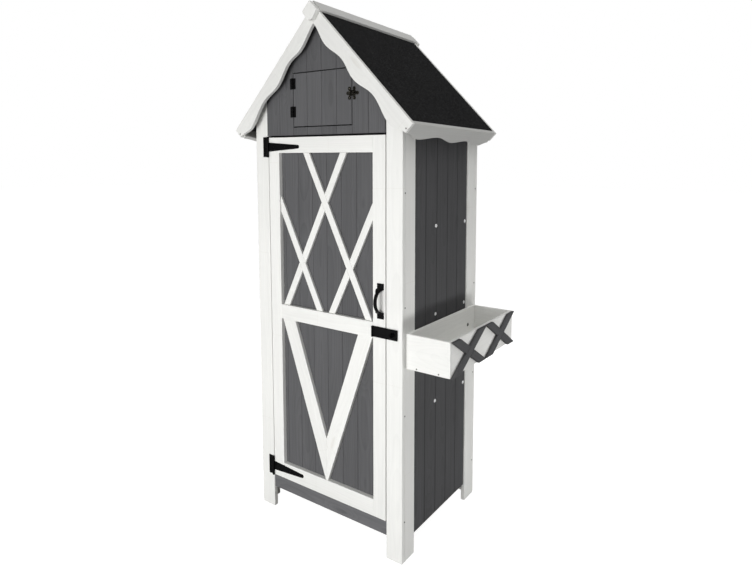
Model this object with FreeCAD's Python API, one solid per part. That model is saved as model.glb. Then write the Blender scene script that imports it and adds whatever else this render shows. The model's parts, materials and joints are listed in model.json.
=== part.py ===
import FreeCAD, Part
import math
import os
from FreeCAD import Vector

# Garden storage cabinet: a tall narrow timber shed with a steep gabled roof,
# a framed door, a small loft door in the gable and a planter on its right side.
# Millimetres. While it is modelled, x = 0 is the middle of the door, y = 0 the
# front face of the posts and z = 0 the ground; +x is to the right as seen from
# the front and +y to the back. The last lines move the whole cabinet so that
# the origin is at the middle of its footprint box.

# Carcass
body_width = 645.0
body_depth = 476.0
post_face_width = 62.0
post_side_width = 69.0
post_thickness = 15.0
batten = 20.0
corner_batten_lift = 20.0

# Tongued boards of the walls, the gables and the door
board_thickness = 10.0
board_chamfer = 1.5
front_board_pitch = 65.0
gable_stand_out = 4.5
side_board_count = 5
wall_bottom = 64.0

# Door opening, plinth and floor
plinth_bottom = 76.0
floor_top = 122.0
floor_thickness = 12.0
floor_board_count = 5
plinth_thickness = 12.0
door_gap = 3.0
door_top = 1367.0
door_head_gap = 6.0

# Door
door_frame_thickness = 15.0
stile_width = 50.0
top_rail_height = 53.5
mid_rail_bottom = 724.5
mid_rail_height = 52.0
bottom_rail_height = 58.0
door_board_inset = 2.5
door_stop_width = 40.5
door_stop_thickness = 10.0
door_stop_gap = 1.0

# Lattice in the upper door panel and V brace in the lower one
lattice_width = 25.0
lattice_thickness = 10.0
lattice_cross_rise = 371.5
lattice_foot_spread = 27.0
lattice_slope = 0.5
brace_width = 56.0
brace_thickness = 12.0
brace_foot_half = 5.5
brace_head_gap = 5.0

# Roof
roof_pitch = 45.0
eave_overhang = 62.5
gable_rise = 406.0
felt_thickness = 2.0
deck_thickness = 10.0
deck_board_count = 7
front_overhang = 38.0
rear_overhang = 30.0
bargeboard_thickness = 12.0
fascia_thickness = 12.0
# Crests and hollows of the bargeboards' lower edges: share of the slope, depth of the board
left_wave_shares = (0.250, 0.372, 0.533, 0.685, 0.885, 1.0)
left_wave_depths = (52.5, 40.0, 52.0, 38.5, 53.0, 36.0)
right_wave_shares = (0.232, 0.380, 0.528, 0.695, 0.890, 1.0)
right_wave_depths = (57.0, 44.5, 58.0, 40.5, 60.0, 38.0)
bargeboard_point_depth = 41.0
bargeboard_joint_gap = 0.8
# Crests and hollows of an eave fascia's lower edge: share of its length, depth of the board
fascia_wave_shares = (0.0, 0.145, 0.337, 0.535, 0.700, 0.905, 1.0)
fascia_wave_depths = (41.0, 59.0, 45.0, 62.0, 50.0, 65.0, 47.0)
wave_steps = 6
ridge_cap_width = 35.0
ridge_cap_thickness = 9.0
ridge_plate_thickness = 18.0
ridge_plate_step = 4.0
ridge_plate_drop = 28.0
ridge_plate_foot = 20.0

# Loft
loft_floor_thickness = 9.0
loft_door_half_boards = 2
loft_door_height = 175.0
loft_door_gap = 2.0
loft_door_head_gap = 3.5
loft_ledge_height = 30.0
loft_ledge_thickness = 12.0
loft_ledge_margin = 22.0

# Shelves: middle height of each pair of cleats
cleat_heights = (470.0, 774.0, 1074.0)
shelf_names = ("lower_shelf", "middle_shelf", "upper_shelf")
shelf_front = 170.0
shelf_slat_count = 4
shelf_slat_gap = 8.0
shelf_thickness = 10.0
shelf_end_gap = 1.5

# Planter on the right side
planter_front = 20.0
planter_rear = 16.0
planter_width = 160.0
planter_bottom = 640.0
planter_height = 112.0
planter_board = 10.0
planter_floor_lift = 1.5
planter_strip_thickness = 10.0
planter_strip_cut = 50.0

# Strap hinges of the door
hinge_bottom_margin = 36.0
hinge_top_margin = 33.0
hinge_plate_width = 25.0
hinge_plate_height = 70.0
hinge_strap_length = 150.0
hinge_strap_root = 32.0
hinge_strap_tip = 12.0
hinge_leaf = 2.5
hinge_barrel_radius = 4.0
hinge_pin_radius = 2.5
hinge_pin_head_radius = 3.6
hinge_pin_head = 1.0
barrel_stand_off = 0.4
knuckle_gap = 0.3
running_clearance = 0.05

# Pull handle
handle_inset = 18.5
handle_rise_over_rail = 71.5
handle_height = 113.0
handle_foot_width = 25.0
handle_foot_height = 19.0
handle_foot_thickness = 3.0
handle_rise = 26.0
handle_grip_width = 10.5
handle_grip_thickness = 4.5
handle_flare = 9.0

# Hasp across the door and the right post
hasp_inset = 48.5
hasp_reach = 97.0
hasp_height = 34.0
hasp_rise_on_rail = 23.5
hasp_leaf = 2.0
hasp_base_reach = 40.0
hasp_lift = 0.8
hasp_barrel_radius = 3.4
hasp_pin_radius = 1.8
hasp_hole_radius = 9.0
hasp_hole_reach = 79.0
staple_plate_width = 32.0
staple_stem_radius = 4.0
staple_disc_radius = 7.5
staple_disc_height = 5.5
staple_tab_thickness = 4.0
staple_tab_width = 14.0
staple_tab_reach = 8.0
staple_eye_radius = 3.5

# Loft hinges and latch
loft_hinge_bottom_margin = 48.5
loft_hinge_top_margin = 33.0
loft_hinge_height = 36.0
loft_hinge_leaf_width = 12.5
loft_leaf = 1.5
loft_barrel_radius = 3.0
loft_pin_radius = 1.3
latch_rise = 96.5
latch_inset = 4.0
latch_reach = 16.0
latch_lobe_radius = 6.0
latch_lobe_rise = 14.5
latch_waist = 5.0
latch_plate_offset = 3.5
latch_plate_reach = 6.5
latch_keeper_reach = 12.5
latch_barrel_radius = 2.2
latch_pin_radius = 1.1
latch_barrel_length = 18.0
latch_hole_radius = 5.0
latch_stud_radius = 3.2
latch_stud_height = 6.0

# Fasteners
screw_head_radius = 4.0
screw_head_height = 1.5
screw_front_inset = 29.0
screw_rear_inset = 12.0
nail_head_radius = 2.5
nail_head_height = 0.8
nail_edge = 14.0
bargeboard_nail_inset = 7.0
bargeboard_nail_depth = 26.6
post_nail_heights = (137.0, 488.0, 835.0, 1190.0)

# Sizes that follow from the ones above
body_half = body_width / 2
opening_half = body_half - post_face_width
inner_half = body_half - post_thickness
inner_front = post_thickness
inner_back = body_depth - post_thickness
batten_half = inner_half - batten
wall_face = inner_half + board_thickness
door_half = opening_half - door_gap
door_bottom = floor_top + door_gap
stile_inner = door_half - stile_width
door_back = door_frame_thickness + board_thickness
gable_bottom = door_top + door_head_gap
roof_apex = gable_bottom + gable_rise
roof_half_width = body_half + eave_overhang
gable_face = -gable_stand_out
loft_floor_bottom = gable_bottom + batten
loft_floor_top = loft_floor_bottom + loft_floor_thickness
loft_opening_half = loft_door_half_boards * front_board_pitch
loft_door_half = loft_opening_half - loft_door_gap
loft_door_bottom = loft_floor_top
loft_door_top = loft_door_bottom + loft_door_height
collar_bottom = loft_door_top + loft_door_head_gap + door_gap

hinge_heights = (door_bottom + hinge_bottom_margin, door_top - hinge_top_margin)
hinge_axis_x = -(opening_half + door_half) / 2
hinge_axis_y = -(hinge_barrel_radius + barrel_stand_off)
handle_x = door_half - handle_inset
handle_middle = mid_rail_bottom + mid_rail_height + handle_rise_over_rail
hasp_axis_x = door_half - hasp_inset
hasp_axis_y = -(hasp_leaf + barrel_stand_off + hasp_barrel_radius)
hasp_middle = mid_rail_bottom + hasp_rise_on_rail
hasp_span = (hasp_middle - hasp_height / 2, hasp_middle + hasp_height / 2)
hasp_hole_x = hasp_axis_x + hasp_hole_reach
loft_leaf_front = gable_face - loft_leaf
loft_hinge_heights = (loft_door_bottom + loft_hinge_bottom_margin, loft_door_top - loft_hinge_top_margin)
loft_hinge_x = -(loft_opening_half + loft_door_half) / 2
loft_hinge_y = gable_face - barrel_stand_off - loft_barrel_radius
latch_height = loft_door_bottom + latch_rise
latch_axis_x = loft_door_half - latch_inset
latch_axis_y = loft_leaf_front - barrel_stand_off - latch_barrel_radius
latch_span = (latch_height - latch_barrel_length / 2, latch_height + latch_barrel_length / 2)
latch_hole_x = latch_axis_x + latch_reach

planter_x = (body_half, body_half + planter_width)
planter_y = (planter_front, body_depth - planter_rear)
planter_z = (planter_bottom, planter_bottom + planter_height)
planter_inner_y = (planter_y[0] + planter_board, planter_y[1] - planter_board)
screw_places = (shelf_front + screw_front_inset, body_depth - post_side_width - screw_rear_inset)

pitch_sin = math.sin(math.radians(roof_pitch))
pitch_cos = math.cos(math.radians(roof_pitch))
pitch_tan = math.tan(math.radians(roof_pitch))
slope_length = roof_half_width / pitch_cos
left_wave = tuple(zip(left_wave_shares, left_wave_depths))
right_wave = tuple(zip(right_wave_shares, right_wave_depths))
fascia_wave = tuple(zip(fascia_wave_shares, fascia_wave_depths))
deck_under = felt_thickness + deck_thickness
roof_front = -front_overhang + bargeboard_thickness
roof_back = body_depth + rear_overhang - bargeboard_thickness

everywhere = 3000.0


def box(x, y, z):
    """Block between the low and high value of each pair."""
    corner = Vector(x[0], y[0], z[0])
    return Part.makeBox(x[1] - x[0], y[1] - y[0], z[1] - z[0], corner)


def point_on(axis, first, second, height):
    """Point whose coordinate along the axis is the height."""
    if axis == "x":
        return Vector(height, first, second)
    if axis == "y":
        return Vector(first, height, second)
    return Vector(first, second, height)


def outline_face(points, axis, height):
    """Flat face square to an axis, from an outline of the two other coordinates."""
    corners = [point_on(axis, first, second, height) for first, second in points]
    return Part.Face(Part.makePolygon(corners + [corners[0]]))


def prism(points, axis, low, high):
    """Straight prism along an axis over an outline of the two other coordinates."""
    return outline_face(points, axis, low).extrude(point_on(axis, 0, 0, high - low))


def rod(axis, first, second, low, high, radius):
    """Round bar along an axis."""
    start = point_on(axis, first, second, low)
    return Part.makeCylinder(radius, high - low, start, point_on(axis, 0, 0, 1))


def fused(solids):
    """One solid from pieces that overlap or touch."""
    return solids[0].multiFuse(solids[1:]).removeSplitter()


def clipped(solids, region):
    """The part of each solid that lies in the region, without empty results."""
    pieces = [solid.common(region) for solid in solids]
    return [piece for shape in pieces for piece in shape.Solids]


def mirrored(solids):
    """Copies on the other side of the middle plane of the door."""
    return [solid.mirror(Vector(0, 0, 0), Vector(1, 0, 0)) for solid in solids]


def board_row(low, high, joints, face, back, z_low, z_high, along):
    """Upright boards side by side, with a chamfer along each visible edge."""
    inside = [place for place in joints if low < place < high]
    edges = [low] + inside + [high]
    toward_back = math.copysign(board_chamfer, back - face)
    boards = []
    for start, end in zip(edges, edges[1:]):
        outline = [
            (start + board_chamfer, face),
            (end - board_chamfer, face),
            (end, face + toward_back),
            (end, back),
            (start, back),
            (start, face + toward_back),
        ]
        if along == "y":
            outline = [(depth, place) for place, depth in outline]
        boards.append(prism(outline, "z", z_low, z_high))
    return boards


def front_joints():
    """Places of the joints between boards that face the front or the back."""
    count = int(opening_half // front_board_pitch)
    return [step * front_board_pitch for step in range(-count, count + 1)]


def slope_point(side, along, depth):
    """Point on a roof slope: distance down the slope, depth under its top surface."""
    x = along * pitch_cos - depth * pitch_sin
    z = roof_apex - along * pitch_sin - depth * pitch_cos
    return side * x, z


def roof_layer(side, top, bottom, along_end, y_low, y_high):
    """Flat layer of one slope, cut plumb at the ridge and square at the eave."""
    outline = [
        slope_point(side, top * pitch_tan, top),
        slope_point(side, along_end, top),
        slope_point(side, along_end, bottom),
        slope_point(side, bottom * pitch_tan, bottom),
    ]
    return prism(outline, "y", y_low, y_high)


def under_roof(depth):
    """Everything that lies more than a depth under the top of both slopes."""
    peak = roof_apex - depth / pitch_cos
    eave = peak - body_width * pitch_tan
    outline = [(-body_width, -body_width), (body_width, -body_width), (body_width, eave), (0, peak),
               (-body_width, eave)]
    return prism(outline, "y", -everywhere, everywhere)


def wave_depth(marks, share):
    """Depth of a wavy edge: rounded steps between neighbouring marks."""
    for (start, start_depth), (end, end_depth) in zip(marks, marks[1:]):
        if share <= end:
            turn = (share - start) / (end - start)
            return start_depth + (end_depth - start_depth) * (1 - math.cos(math.pi * turn)) / 2
    return marks[-1][1]


def wave_shares(marks):
    """Evenly spaced places along the marks, several to each rounded step."""
    shares = []
    for (start, _), (end, _) in zip(marks, marks[1:]):
        shares += [start + (end - start) * step / wave_steps for step in range(wave_steps)]
    return shares + [marks[-1][0]]


def wavy_board(edge_points, corners, thickness):
    """Board with one smooth wavy edge; the straight edges run through the corners."""
    spline = Part.BSplineCurve()
    spline.interpolate(edge_points)
    path = [edge_points[-1]] + corners + [edge_points[0]]
    straight = [Part.makeLine(start, end) for start, end in zip(path, path[1:])]
    face = Part.Face(Part.Wire([spline.toShape()] + straight))
    return face.extrude(thickness)


def l_post(side, rear):
    """Corner post of two boards: one across the front or the back, one along the side."""
    y_face = (inner_back, body_depth) if rear else (0, post_thickness)
    y_side = (body_depth - post_side_width, inner_back) if rear else (post_thickness, post_side_width)
    face_board = box((opening_half, body_half), y_face, (0, roof_apex))
    side_board = box((inner_half, body_half), y_side, (0, roof_apex))
    boards = clipped([face_board, side_board], under_roof(deck_under))
    return boards if side > 0 else mirrored(boards)


def corner_battens():
    """Square battens in the four corners that join the posts and the walls."""
    right = []
    for y_low in (inner_front, inner_back - batten):
        z = (corner_batten_lift, gable_bottom)
        right.append(box((batten_half, inner_half), (y_low, y_low + batten), z))
    return right + mirrored(right)


def side_wall():
    """Boards between the side boards of the posts on the right."""
    low = post_side_width
    high = body_depth - post_side_width
    pitch = (high - low) / side_board_count
    joints = [low + step * pitch for step in range(1, side_board_count)]
    boards = board_row(low, high, joints, wall_face, inner_half, wall_bottom, roof_apex, "y")
    return clipped(boards, under_roof(deck_under))


def rear_wall():
    """Boards between the rear posts, up to the roof."""
    face = inner_back + board_thickness
    boards = board_row(-opening_half, opening_half, front_joints(), face, inner_back,
                       wall_bottom, roof_apex, "x")
    return clipped(boards, under_roof(deck_under))


def front_gable():
    """Boards over the door, cut out round the loft door."""
    boards = board_row(-opening_half, opening_half, front_joints(), gable_face, post_thickness,
                       gable_bottom, roof_apex, "x")
    boards = clipped(boards, under_roof(deck_under))
    hole = box((-loft_opening_half, loft_opening_half), (-everywhere, inner_back),
               (loft_door_bottom - loft_door_head_gap, loft_door_top + loft_door_head_gap))
    return [piece for board in boards for piece in board.cut(hole).Solids]


def plinth():
    """Grey board under the door."""
    back = post_thickness
    return [box((-opening_half, opening_half), (back - plinth_thickness, back), (plinth_bottom, floor_top))]


def floor_boards():
    """Boards from wall to wall behind the plinth, between the corner battens at both ends."""
    depth = (inner_back - inner_front) / floor_board_count
    boards = []
    for index in range(floor_board_count):
        y_low = inner_front + index * depth
        boards.append(box((-inner_half, inner_half), (y_low, y_low + depth),
                          (floor_top - floor_thickness, floor_top)))
    corners = corner_battens()
    return [board.cut(Part.makeCompound(corners)) for board in boards]


def bearers(z_high):
    """Ring of battens under a floor, between the corner battens, and one across the middle."""
    z = (z_high - batten, z_high)
    sides = [box((batten_half, inner_half), (inner_front + batten, inner_back - batten), z)]
    ends = [box((-batten_half, batten_half), (inner_front, inner_front + batten), z),
            box((-batten_half, batten_half), (inner_back - batten, inner_back), z)]
    middle = box((-batten / 2, batten / 2), (inner_front + batten, inner_back - batten), z)
    return sides + mirrored(sides) + ends + [middle]


def door_stop():
    """Strip behind the right edge of the door, fixed to the corner batten."""
    y_low = door_back + door_stop_gap
    return [box((batten_half - door_stop_width, batten_half), (y_low, y_low + door_stop_thickness),
                (floor_top, gable_bottom - batten))]


def loft_floor():
    """Sheet that closes the cupboard at the top and carries what lies in the loft."""
    return [box((-inner_half, inner_half), (inner_front, inner_back), (loft_floor_bottom, loft_floor_top))]


def rafters():
    """Battens under the roof at both gables, with a collar over the loft door."""
    solids = []
    for y_low in (inner_front, inner_back - batten):
        y_high = y_low + batten
        region = box((-inner_half, inner_half), (y_low, y_high), (loft_floor_top, roof_apex))
        for side in (-1, 1):
            layer = roof_layer(side, deck_under, deck_under + batten, slope_length, y_low, y_high)
            solids += layer.common(region).Solids
        collar = box((-everywhere, everywhere), (y_low, y_high), (collar_bottom, collar_bottom + batten))
        solids += clipped([collar], under_roof(deck_under + batten))
    return solids


def shelf_cleats():
    """Battens on both side walls that carry the shelves."""
    right = []
    for height in cleat_heights:
        right.append(box((batten_half, inner_half), (shelf_front, inner_back - batten),
                         (height - batten / 2, height + batten / 2)))
    return right + mirrored(right)


def shelf(height):
    """Slatted shelf on a pair of cleats, in the back part of the cupboard."""
    bottom = height + batten / 2
    room = inner_back - batten - shelf_front
    slat = (room - (shelf_slat_count - 1) * shelf_slat_gap) / shelf_slat_count
    half = inner_half - shelf_end_gap
    slats = []
    for index in range(shelf_slat_count):
        y_low = shelf_front + index * (slat + shelf_slat_gap)
        slats.append(box((-half, half), (y_low, y_low + slat), (bottom, bottom + shelf_thickness)))
    return slats


def roof_deck(side):
    """Roof boards of one slope, laid along the ridge."""
    end = slope_length - fascia_thickness
    whole = roof_layer(side, felt_thickness, deck_under, end, roof_front, roof_back)
    pitch = end / deck_board_count
    cuts = []
    for index in range(1, deck_board_count):
        groove = [
            slope_point(side, index * pitch - board_chamfer, deck_under),
            slope_point(side, index * pitch + board_chamfer, deck_under),
            slope_point(side, index * pitch, deck_under - board_chamfer),
        ]
        cuts.append(prism(groove, "y", roof_front, roof_back))
    return [whole.cut(Part.makeCompound(cuts))]


def roof_felt():
    """Felt on both slopes."""
    end = slope_length - fascia_thickness
    return [roof_layer(side, 0, felt_thickness, end, roof_front, roof_back) for side in (-1, 1)]


def bargeboard(side, y_low):
    """Gable board with a wavy lower edge, from the plumb joint at the ridge to the eave."""
    start = bargeboard_point_depth * pitch_tan / slope_length
    marks = ((start, bargeboard_point_depth),) + (right_wave if side > 0 else left_wave)
    edge = []
    for share in wave_shares(marks):
        x, z = slope_point(side, share * slope_length, wave_depth(marks, share))
        edge.append(Vector(x, y_low, z))
    eave_x, eave_z = slope_point(side, slope_length, 0)
    corners = [Vector(eave_x, y_low, eave_z), Vector(0, y_low, roof_apex)]
    board = wavy_board(edge, corners, Vector(0, bargeboard_thickness, 0))
    half_gap = bargeboard_joint_gap / 2
    joint = box((-half_gap, half_gap), (y_low, y_low + bargeboard_thickness), (0, roof_apex))
    return [board.cut(joint)]


def eave_fascia(side):
    """Wavy board square to the slope that closes the ends of the roof boards."""
    inner = slope_length - fascia_thickness
    edge = []
    for share in wave_shares(fascia_wave):
        x, z = slope_point(side, inner, wave_depth(fascia_wave, share))
        edge.append(Vector(x, roof_front + share * (roof_back - roof_front), z))
    top_x, top_z = slope_point(side, inner, 0)
    corners = [Vector(top_x, roof_back, top_z), Vector(top_x, roof_front, top_z)]
    outward = Vector(side * pitch_cos * fascia_thickness, 0, -pitch_sin * fascia_thickness)
    return [wavy_board(edge, corners, outward)]


def ridge_cap():
    """Two boards along the ridge, over the felt and the bargeboards."""
    y = (-front_overhang, body_depth + rear_overhang)
    return [roof_layer(side, -ridge_cap_thickness, 0, ridge_cap_width, y[0], y[1]) for side in (-1, 1)]


def ridge_plates():
    """Five-sided plates over both ends of the ridge cap, a step lower than its top."""
    shoulder_x, cap_edge_z = slope_point(1, ridge_cap_width, -ridge_cap_thickness)
    shoulder_z = cap_edge_z - ridge_plate_step
    peak = roof_apex + ridge_cap_thickness / pitch_cos - ridge_plate_step
    foot = ridge_plate_foot / 2
    foot_z = shoulder_z - ridge_plate_drop
    outline = [(0, peak), (shoulder_x, shoulder_z), (foot, foot_z), (-foot, foot_z),
               (-shoulder_x, shoulder_z)]
    front = -front_overhang
    back = body_depth + rear_overhang
    return [prism(outline, "y", front - ridge_plate_thickness, front),
            prism(outline, "y", back, back + ridge_plate_thickness)]


def door_stile(side):
    """Upright of the door frame, over its whole height."""
    x = (stile_inner, door_half) if side > 0 else (-door_half, -stile_inner)
    return [box(x, (0, door_frame_thickness), (door_bottom, door_top))]


def door_rail(z_low, z_high):
    """Crosspiece of the door frame between the stiles."""
    return [box((-stile_inner, stile_inner), (0, door_frame_thickness), (z_low, z_high))]


def door_boards():
    """Tongued boards behind the frame of the door."""
    half = door_half - door_board_inset
    return board_row(-half, half, front_joints(), door_frame_thickness, door_back,
                     door_bottom + door_board_inset, door_top - door_board_inset, "x")


def upper_panel():
    """Space of the upper door panel that the lattice fills."""
    y = (door_frame_thickness - lattice_thickness, door_frame_thickness)
    return box((-stile_inner, stile_inner), y,
               (mid_rail_bottom + mid_rail_height, door_top - top_rail_height))


def lattice_strip(x_at_foot, slope):
    """Straight strip through a place on the mid rail; slope is the run per unit of rise."""
    foot = mid_rail_bottom + mid_rail_height
    half_cut = lattice_width / 2 * math.hypot(1, slope)
    low = foot - body_width
    high = door_top + body_width
    outline = []
    for z, sign in ((low, -1), (low, 1), (high, 1), (high, -1)):
        outline.append((x_at_foot + slope * (z - foot) + sign * half_cut, z))
    return prism(outline, "y", 0, door_frame_thickness)


def door_lattice():
    """Falling strips run through; rising strips are cut where they meet them."""
    long_foot = lattice_slope * lattice_cross_rise
    falling = [lattice_strip(long_foot, -lattice_slope), lattice_strip(-lattice_foot_spread, -lattice_slope)]
    rising = mirrored(falling)
    panel = upper_panel()
    falling = clipped(falling, panel)
    rising = clipped(rising, panel)
    through = Part.makeCompound(falling)
    return falling + [piece for strip in rising for piece in strip.cut(through).Solids]


def v_brace():
    """Two boards from the corners under the mid rail down to the bottom rail."""
    top = mid_rail_bottom
    foot = door_bottom + bottom_rail_height
    head_x = stile_inner - brace_head_gap
    run = (head_x - brace_foot_half) / (top - foot)
    cut_width = brace_width * math.hypot(1, run)
    notch_z = top - (head_x - cut_width) / run
    outline = [(0, foot), (brace_foot_half, foot), (head_x, top), (head_x - cut_width, top), (0, notch_z)]
    y = (door_frame_thickness - brace_thickness, door_frame_thickness)
    right = [prism(outline, "y", y[0], y[1])]
    return right + mirrored(right)


def hinge_plates():
    """Upright plates of the strap hinges on the left post, with two knuckles each."""
    solids = []
    for height in hinge_heights:
        z = (height - hinge_plate_height / 2, height + hinge_plate_height / 2)
        leaf = box((hinge_axis_x - hinge_plate_width, hinge_axis_x), (-hinge_leaf, 0), z)
        barrel = rod("z", hinge_axis_x, hinge_axis_y, z[0], z[1], hinge_barrel_radius)
        reach = hinge_barrel_radius + barrel_stand_off
        middle = hinge_strap_root / 2 + knuckle_gap
        notch = box((hinge_axis_x - reach, hinge_axis_x + reach), (hinge_axis_y - reach, 0),
                    (height - middle, height + middle))
        bore = rod("z", hinge_axis_x, hinge_axis_y, z[0], z[1], hinge_pin_radius + running_clearance)
        solids.append(fused([leaf, barrel]).cut(notch).cut(bore))
    return solids


def hinge_pins():
    """Pins of the strap hinges with a flat head at each end."""
    solids = []
    for height in hinge_heights:
        low = height - hinge_plate_height / 2
        high = height + hinge_plate_height / 2
        pin = rod("z", hinge_axis_x, hinge_axis_y, low, high, hinge_pin_radius)
        heads = [rod("z", hinge_axis_x, hinge_axis_y, place, place + hinge_pin_head, hinge_pin_head_radius)
                 for place in (low - hinge_pin_head, high)]
        solids.append(fused([pin] + heads))
    return solids


def hinge_straps():
    """Tapered straps on the door that turn on the middle of each pin."""
    solids = []
    for height in hinge_heights:
        root = hinge_strap_root / 2
        tip = hinge_strap_tip / 2
        tip_x = hinge_axis_x + hinge_strap_length - tip
        outline = [(hinge_axis_x, height - root), (tip_x, height - tip), (tip_x, height + tip),
                   (hinge_axis_x, height + root)]
        strap = prism(outline, "y", -hinge_leaf, 0)
        end = rod("y", tip_x, height, -hinge_leaf, 0, tip)
        knuckle = rod("z", hinge_axis_x, hinge_axis_y, height - root, height + root, hinge_barrel_radius)
        bore = rod("z", hinge_axis_x, hinge_axis_y, height - root, height + root,
                   hinge_pin_radius + running_clearance)
        solids.append(fused([strap, end, knuckle]).cut(bore))
    return solids


def handle():
    """Bow pull: a flat band bent to one arc between two flat feet, wide only where it leaves them."""
    foot_half = handle_foot_width / 2
    grip_half = handle_grip_width / 2
    end = handle_height / 2
    foot_inner = end - handle_foot_height
    flare_inner = foot_inner - handle_flare
    reach = foot_inner + handle_grip_thickness / 2
    rise = handle_foot_thickness + handle_rise
    radius = (reach ** 2 + rise ** 2) / (2 * rise)
    turn = math.degrees(math.asin(reach / radius))

    top_y = -rise
    y = (top_y - handle_grip_thickness / 2, top_y + handle_grip_thickness / 2)
    x = (handle_x - foot_half, handle_x + foot_half)
    section = outline_face([(x[0], y[0]), (x[1], y[0]), (x[1], y[1]), (x[0], y[1])], "z", handle_middle)
    centre = Vector(handle_x, top_y + radius, handle_middle)
    section.rotate(centre, Vector(1, 0, 0), -turn)
    band = section.revolve(centre, Vector(1, 0, 0), 2 * turn)

    upper = [(foot_half, end), (foot_half, foot_inner), (grip_half, flare_inner)]
    right = upper + [(across, -up) for across, up in reversed(upper)]
    left = [(-across, up) for across, up in reversed(right)]
    outline = [(handle_x + across, handle_middle + up) for across, up in right + left]
    pieces = clipped([band], prism(outline, "y", -everywhere, 0))
    for low in (handle_middle - end, handle_middle + foot_inner):
        pieces.append(box(x, (-handle_foot_thickness, 0), (low, low + handle_foot_height)))
    return [fused(pieces)]


def pinned_base(leaf, axis_x, axis_y, z, barrel_radius, pin_radius):
    """Leaf that carries the outer thirds of a barrel and the pin through it."""
    third = (z[1] - z[0]) / 3
    reach = barrel_radius + barrel_stand_off
    middle = box((axis_x - reach, axis_x + reach), (axis_y - reach, axis_y + reach),
                 (z[0] + third - knuckle_gap, z[1] - third + knuckle_gap))
    barrel = rod("z", axis_x, axis_y, z[0], z[1], barrel_radius)
    pin = rod("z", axis_x, axis_y, z[0], z[1], pin_radius)
    return fused([fused([leaf, barrel]).cut(middle), pin])


def pinned_leaf(leaf, axis_x, axis_y, z, barrel_radius, pin_radius):
    """Leaf that turns on the middle third of a barrel."""
    third = (z[1] - z[0]) / 3
    reach = barrel_radius + barrel_stand_off
    across = ((axis_x - reach, axis_x + reach), (axis_y - reach, axis_y + reach))
    ends = [box(across[0], across[1], (z[0] - reach, z[0] + third + knuckle_gap)),
            box(across[0], across[1], (z[1] - third - knuckle_gap, z[1] + reach))]
    barrel = rod("z", axis_x, axis_y, z[0], z[1], barrel_radius)
    bore = rod("z", axis_x, axis_y, z[0], z[1], pin_radius + running_clearance)
    return fused([leaf, barrel]).cut(Part.makeCompound(ends)).cut(bore)


def hasp_base():
    """Leaf of the hasp on the door, with its pin."""
    edge_x = hasp_axis_x - hasp_barrel_radius
    leaf = box((edge_x, hasp_axis_x + hasp_base_reach), (-hasp_leaf, 0), hasp_span)
    block = box((edge_x, hasp_axis_x + hasp_barrel_radius), (hasp_axis_y, -hasp_leaf), hasp_span)
    return [pinned_base(fused([leaf, block]), hasp_axis_x, hasp_axis_y, hasp_span,
                        hasp_barrel_radius, hasp_pin_radius)]


def hasp_strap():
    """Strap of the hasp, with a round hole that passes over the staple."""
    back = -hasp_leaf - hasp_lift
    leaf = box((hasp_axis_x, hasp_axis_x + hasp_reach), (back - hasp_leaf, back), hasp_span)
    hole = rod("y", hasp_hole_x, hasp_middle, -everywhere, everywhere, hasp_hole_radius)
    return [pinned_leaf(leaf.cut(hole), hasp_axis_x, hasp_axis_y, hasp_span,
                        hasp_barrel_radius, hasp_pin_radius)]


def staple_plate():
    """Square plate on the right post that carries the turning staple."""
    half = staple_plate_width / 2
    plate = box((hasp_hole_x - half, hasp_hole_x + half), (-hasp_leaf, 0),
                (hasp_middle - half, hasp_middle + half))
    socket = rod("y", hasp_hole_x, hasp_middle, -hasp_leaf, 0, staple_stem_radius + running_clearance)
    return [plate.cut(socket)]


def turn_staple():
    """Disc on a stem with an upright eye for a padlock."""
    stem = rod("y", hasp_hole_x, hasp_middle, -hasp_leaf - barrel_stand_off, 0, staple_stem_radius)
    disc_back = -hasp_leaf - barrel_stand_off
    disc_front = disc_back - staple_disc_height
    disc = rod("y", hasp_hole_x, hasp_middle, disc_front, disc_back, staple_disc_radius)
    x = (hasp_hole_x - staple_tab_thickness / 2, hasp_hole_x + staple_tab_thickness / 2)
    z = (hasp_middle - staple_tab_width / 2, hasp_middle + staple_tab_width / 2)
    eye_y = disc_front - staple_tab_reach
    tab = box(x, (eye_y, disc_front), z)
    round_end = rod("x", eye_y, hasp_middle, x[0], x[1], staple_tab_width / 2)
    eye = rod("x", eye_y, hasp_middle, x[0], x[1], staple_eye_radius)
    return [fused([stem, disc, tab, round_end]).cut(eye)]


def loft_door_boards():
    """Boards of the loft door, in line with those of the gable."""
    return board_row(-loft_door_half, loft_door_half, front_joints(), gable_face, post_thickness,
                     loft_door_bottom, loft_door_top, "x")


def loft_door_ledges():
    """Two crosspieces on the back of the loft door."""
    half = loft_door_half - loft_ledge_margin
    y = (post_thickness, post_thickness + loft_ledge_thickness)
    ledges = []
    for low in (loft_door_bottom + loft_ledge_margin, loft_door_top - loft_ledge_margin - loft_ledge_height):
        ledges.append(box((-half, half), y, (low, low + loft_ledge_height)))
    return ledges


def loft_hinge_leaves(moving):
    """Leaves of the two small butt hinges, those on the gable or those on the loft door."""
    solids = []
    for height in loft_hinge_heights:
        z = (height - loft_hinge_height / 2, height + loft_hinge_height / 2)
        x = (loft_hinge_x, loft_hinge_x + loft_hinge_leaf_width)
        if not moving:
            x = (loft_hinge_x - loft_hinge_leaf_width, loft_hinge_x)
        leaf = box(x, (loft_leaf_front, gable_face), z)
        pinned = pinned_leaf if moving else pinned_base
        solids.append(pinned(leaf, loft_hinge_x, loft_hinge_y, z, loft_barrel_radius, loft_pin_radius))
    return solids


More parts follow.
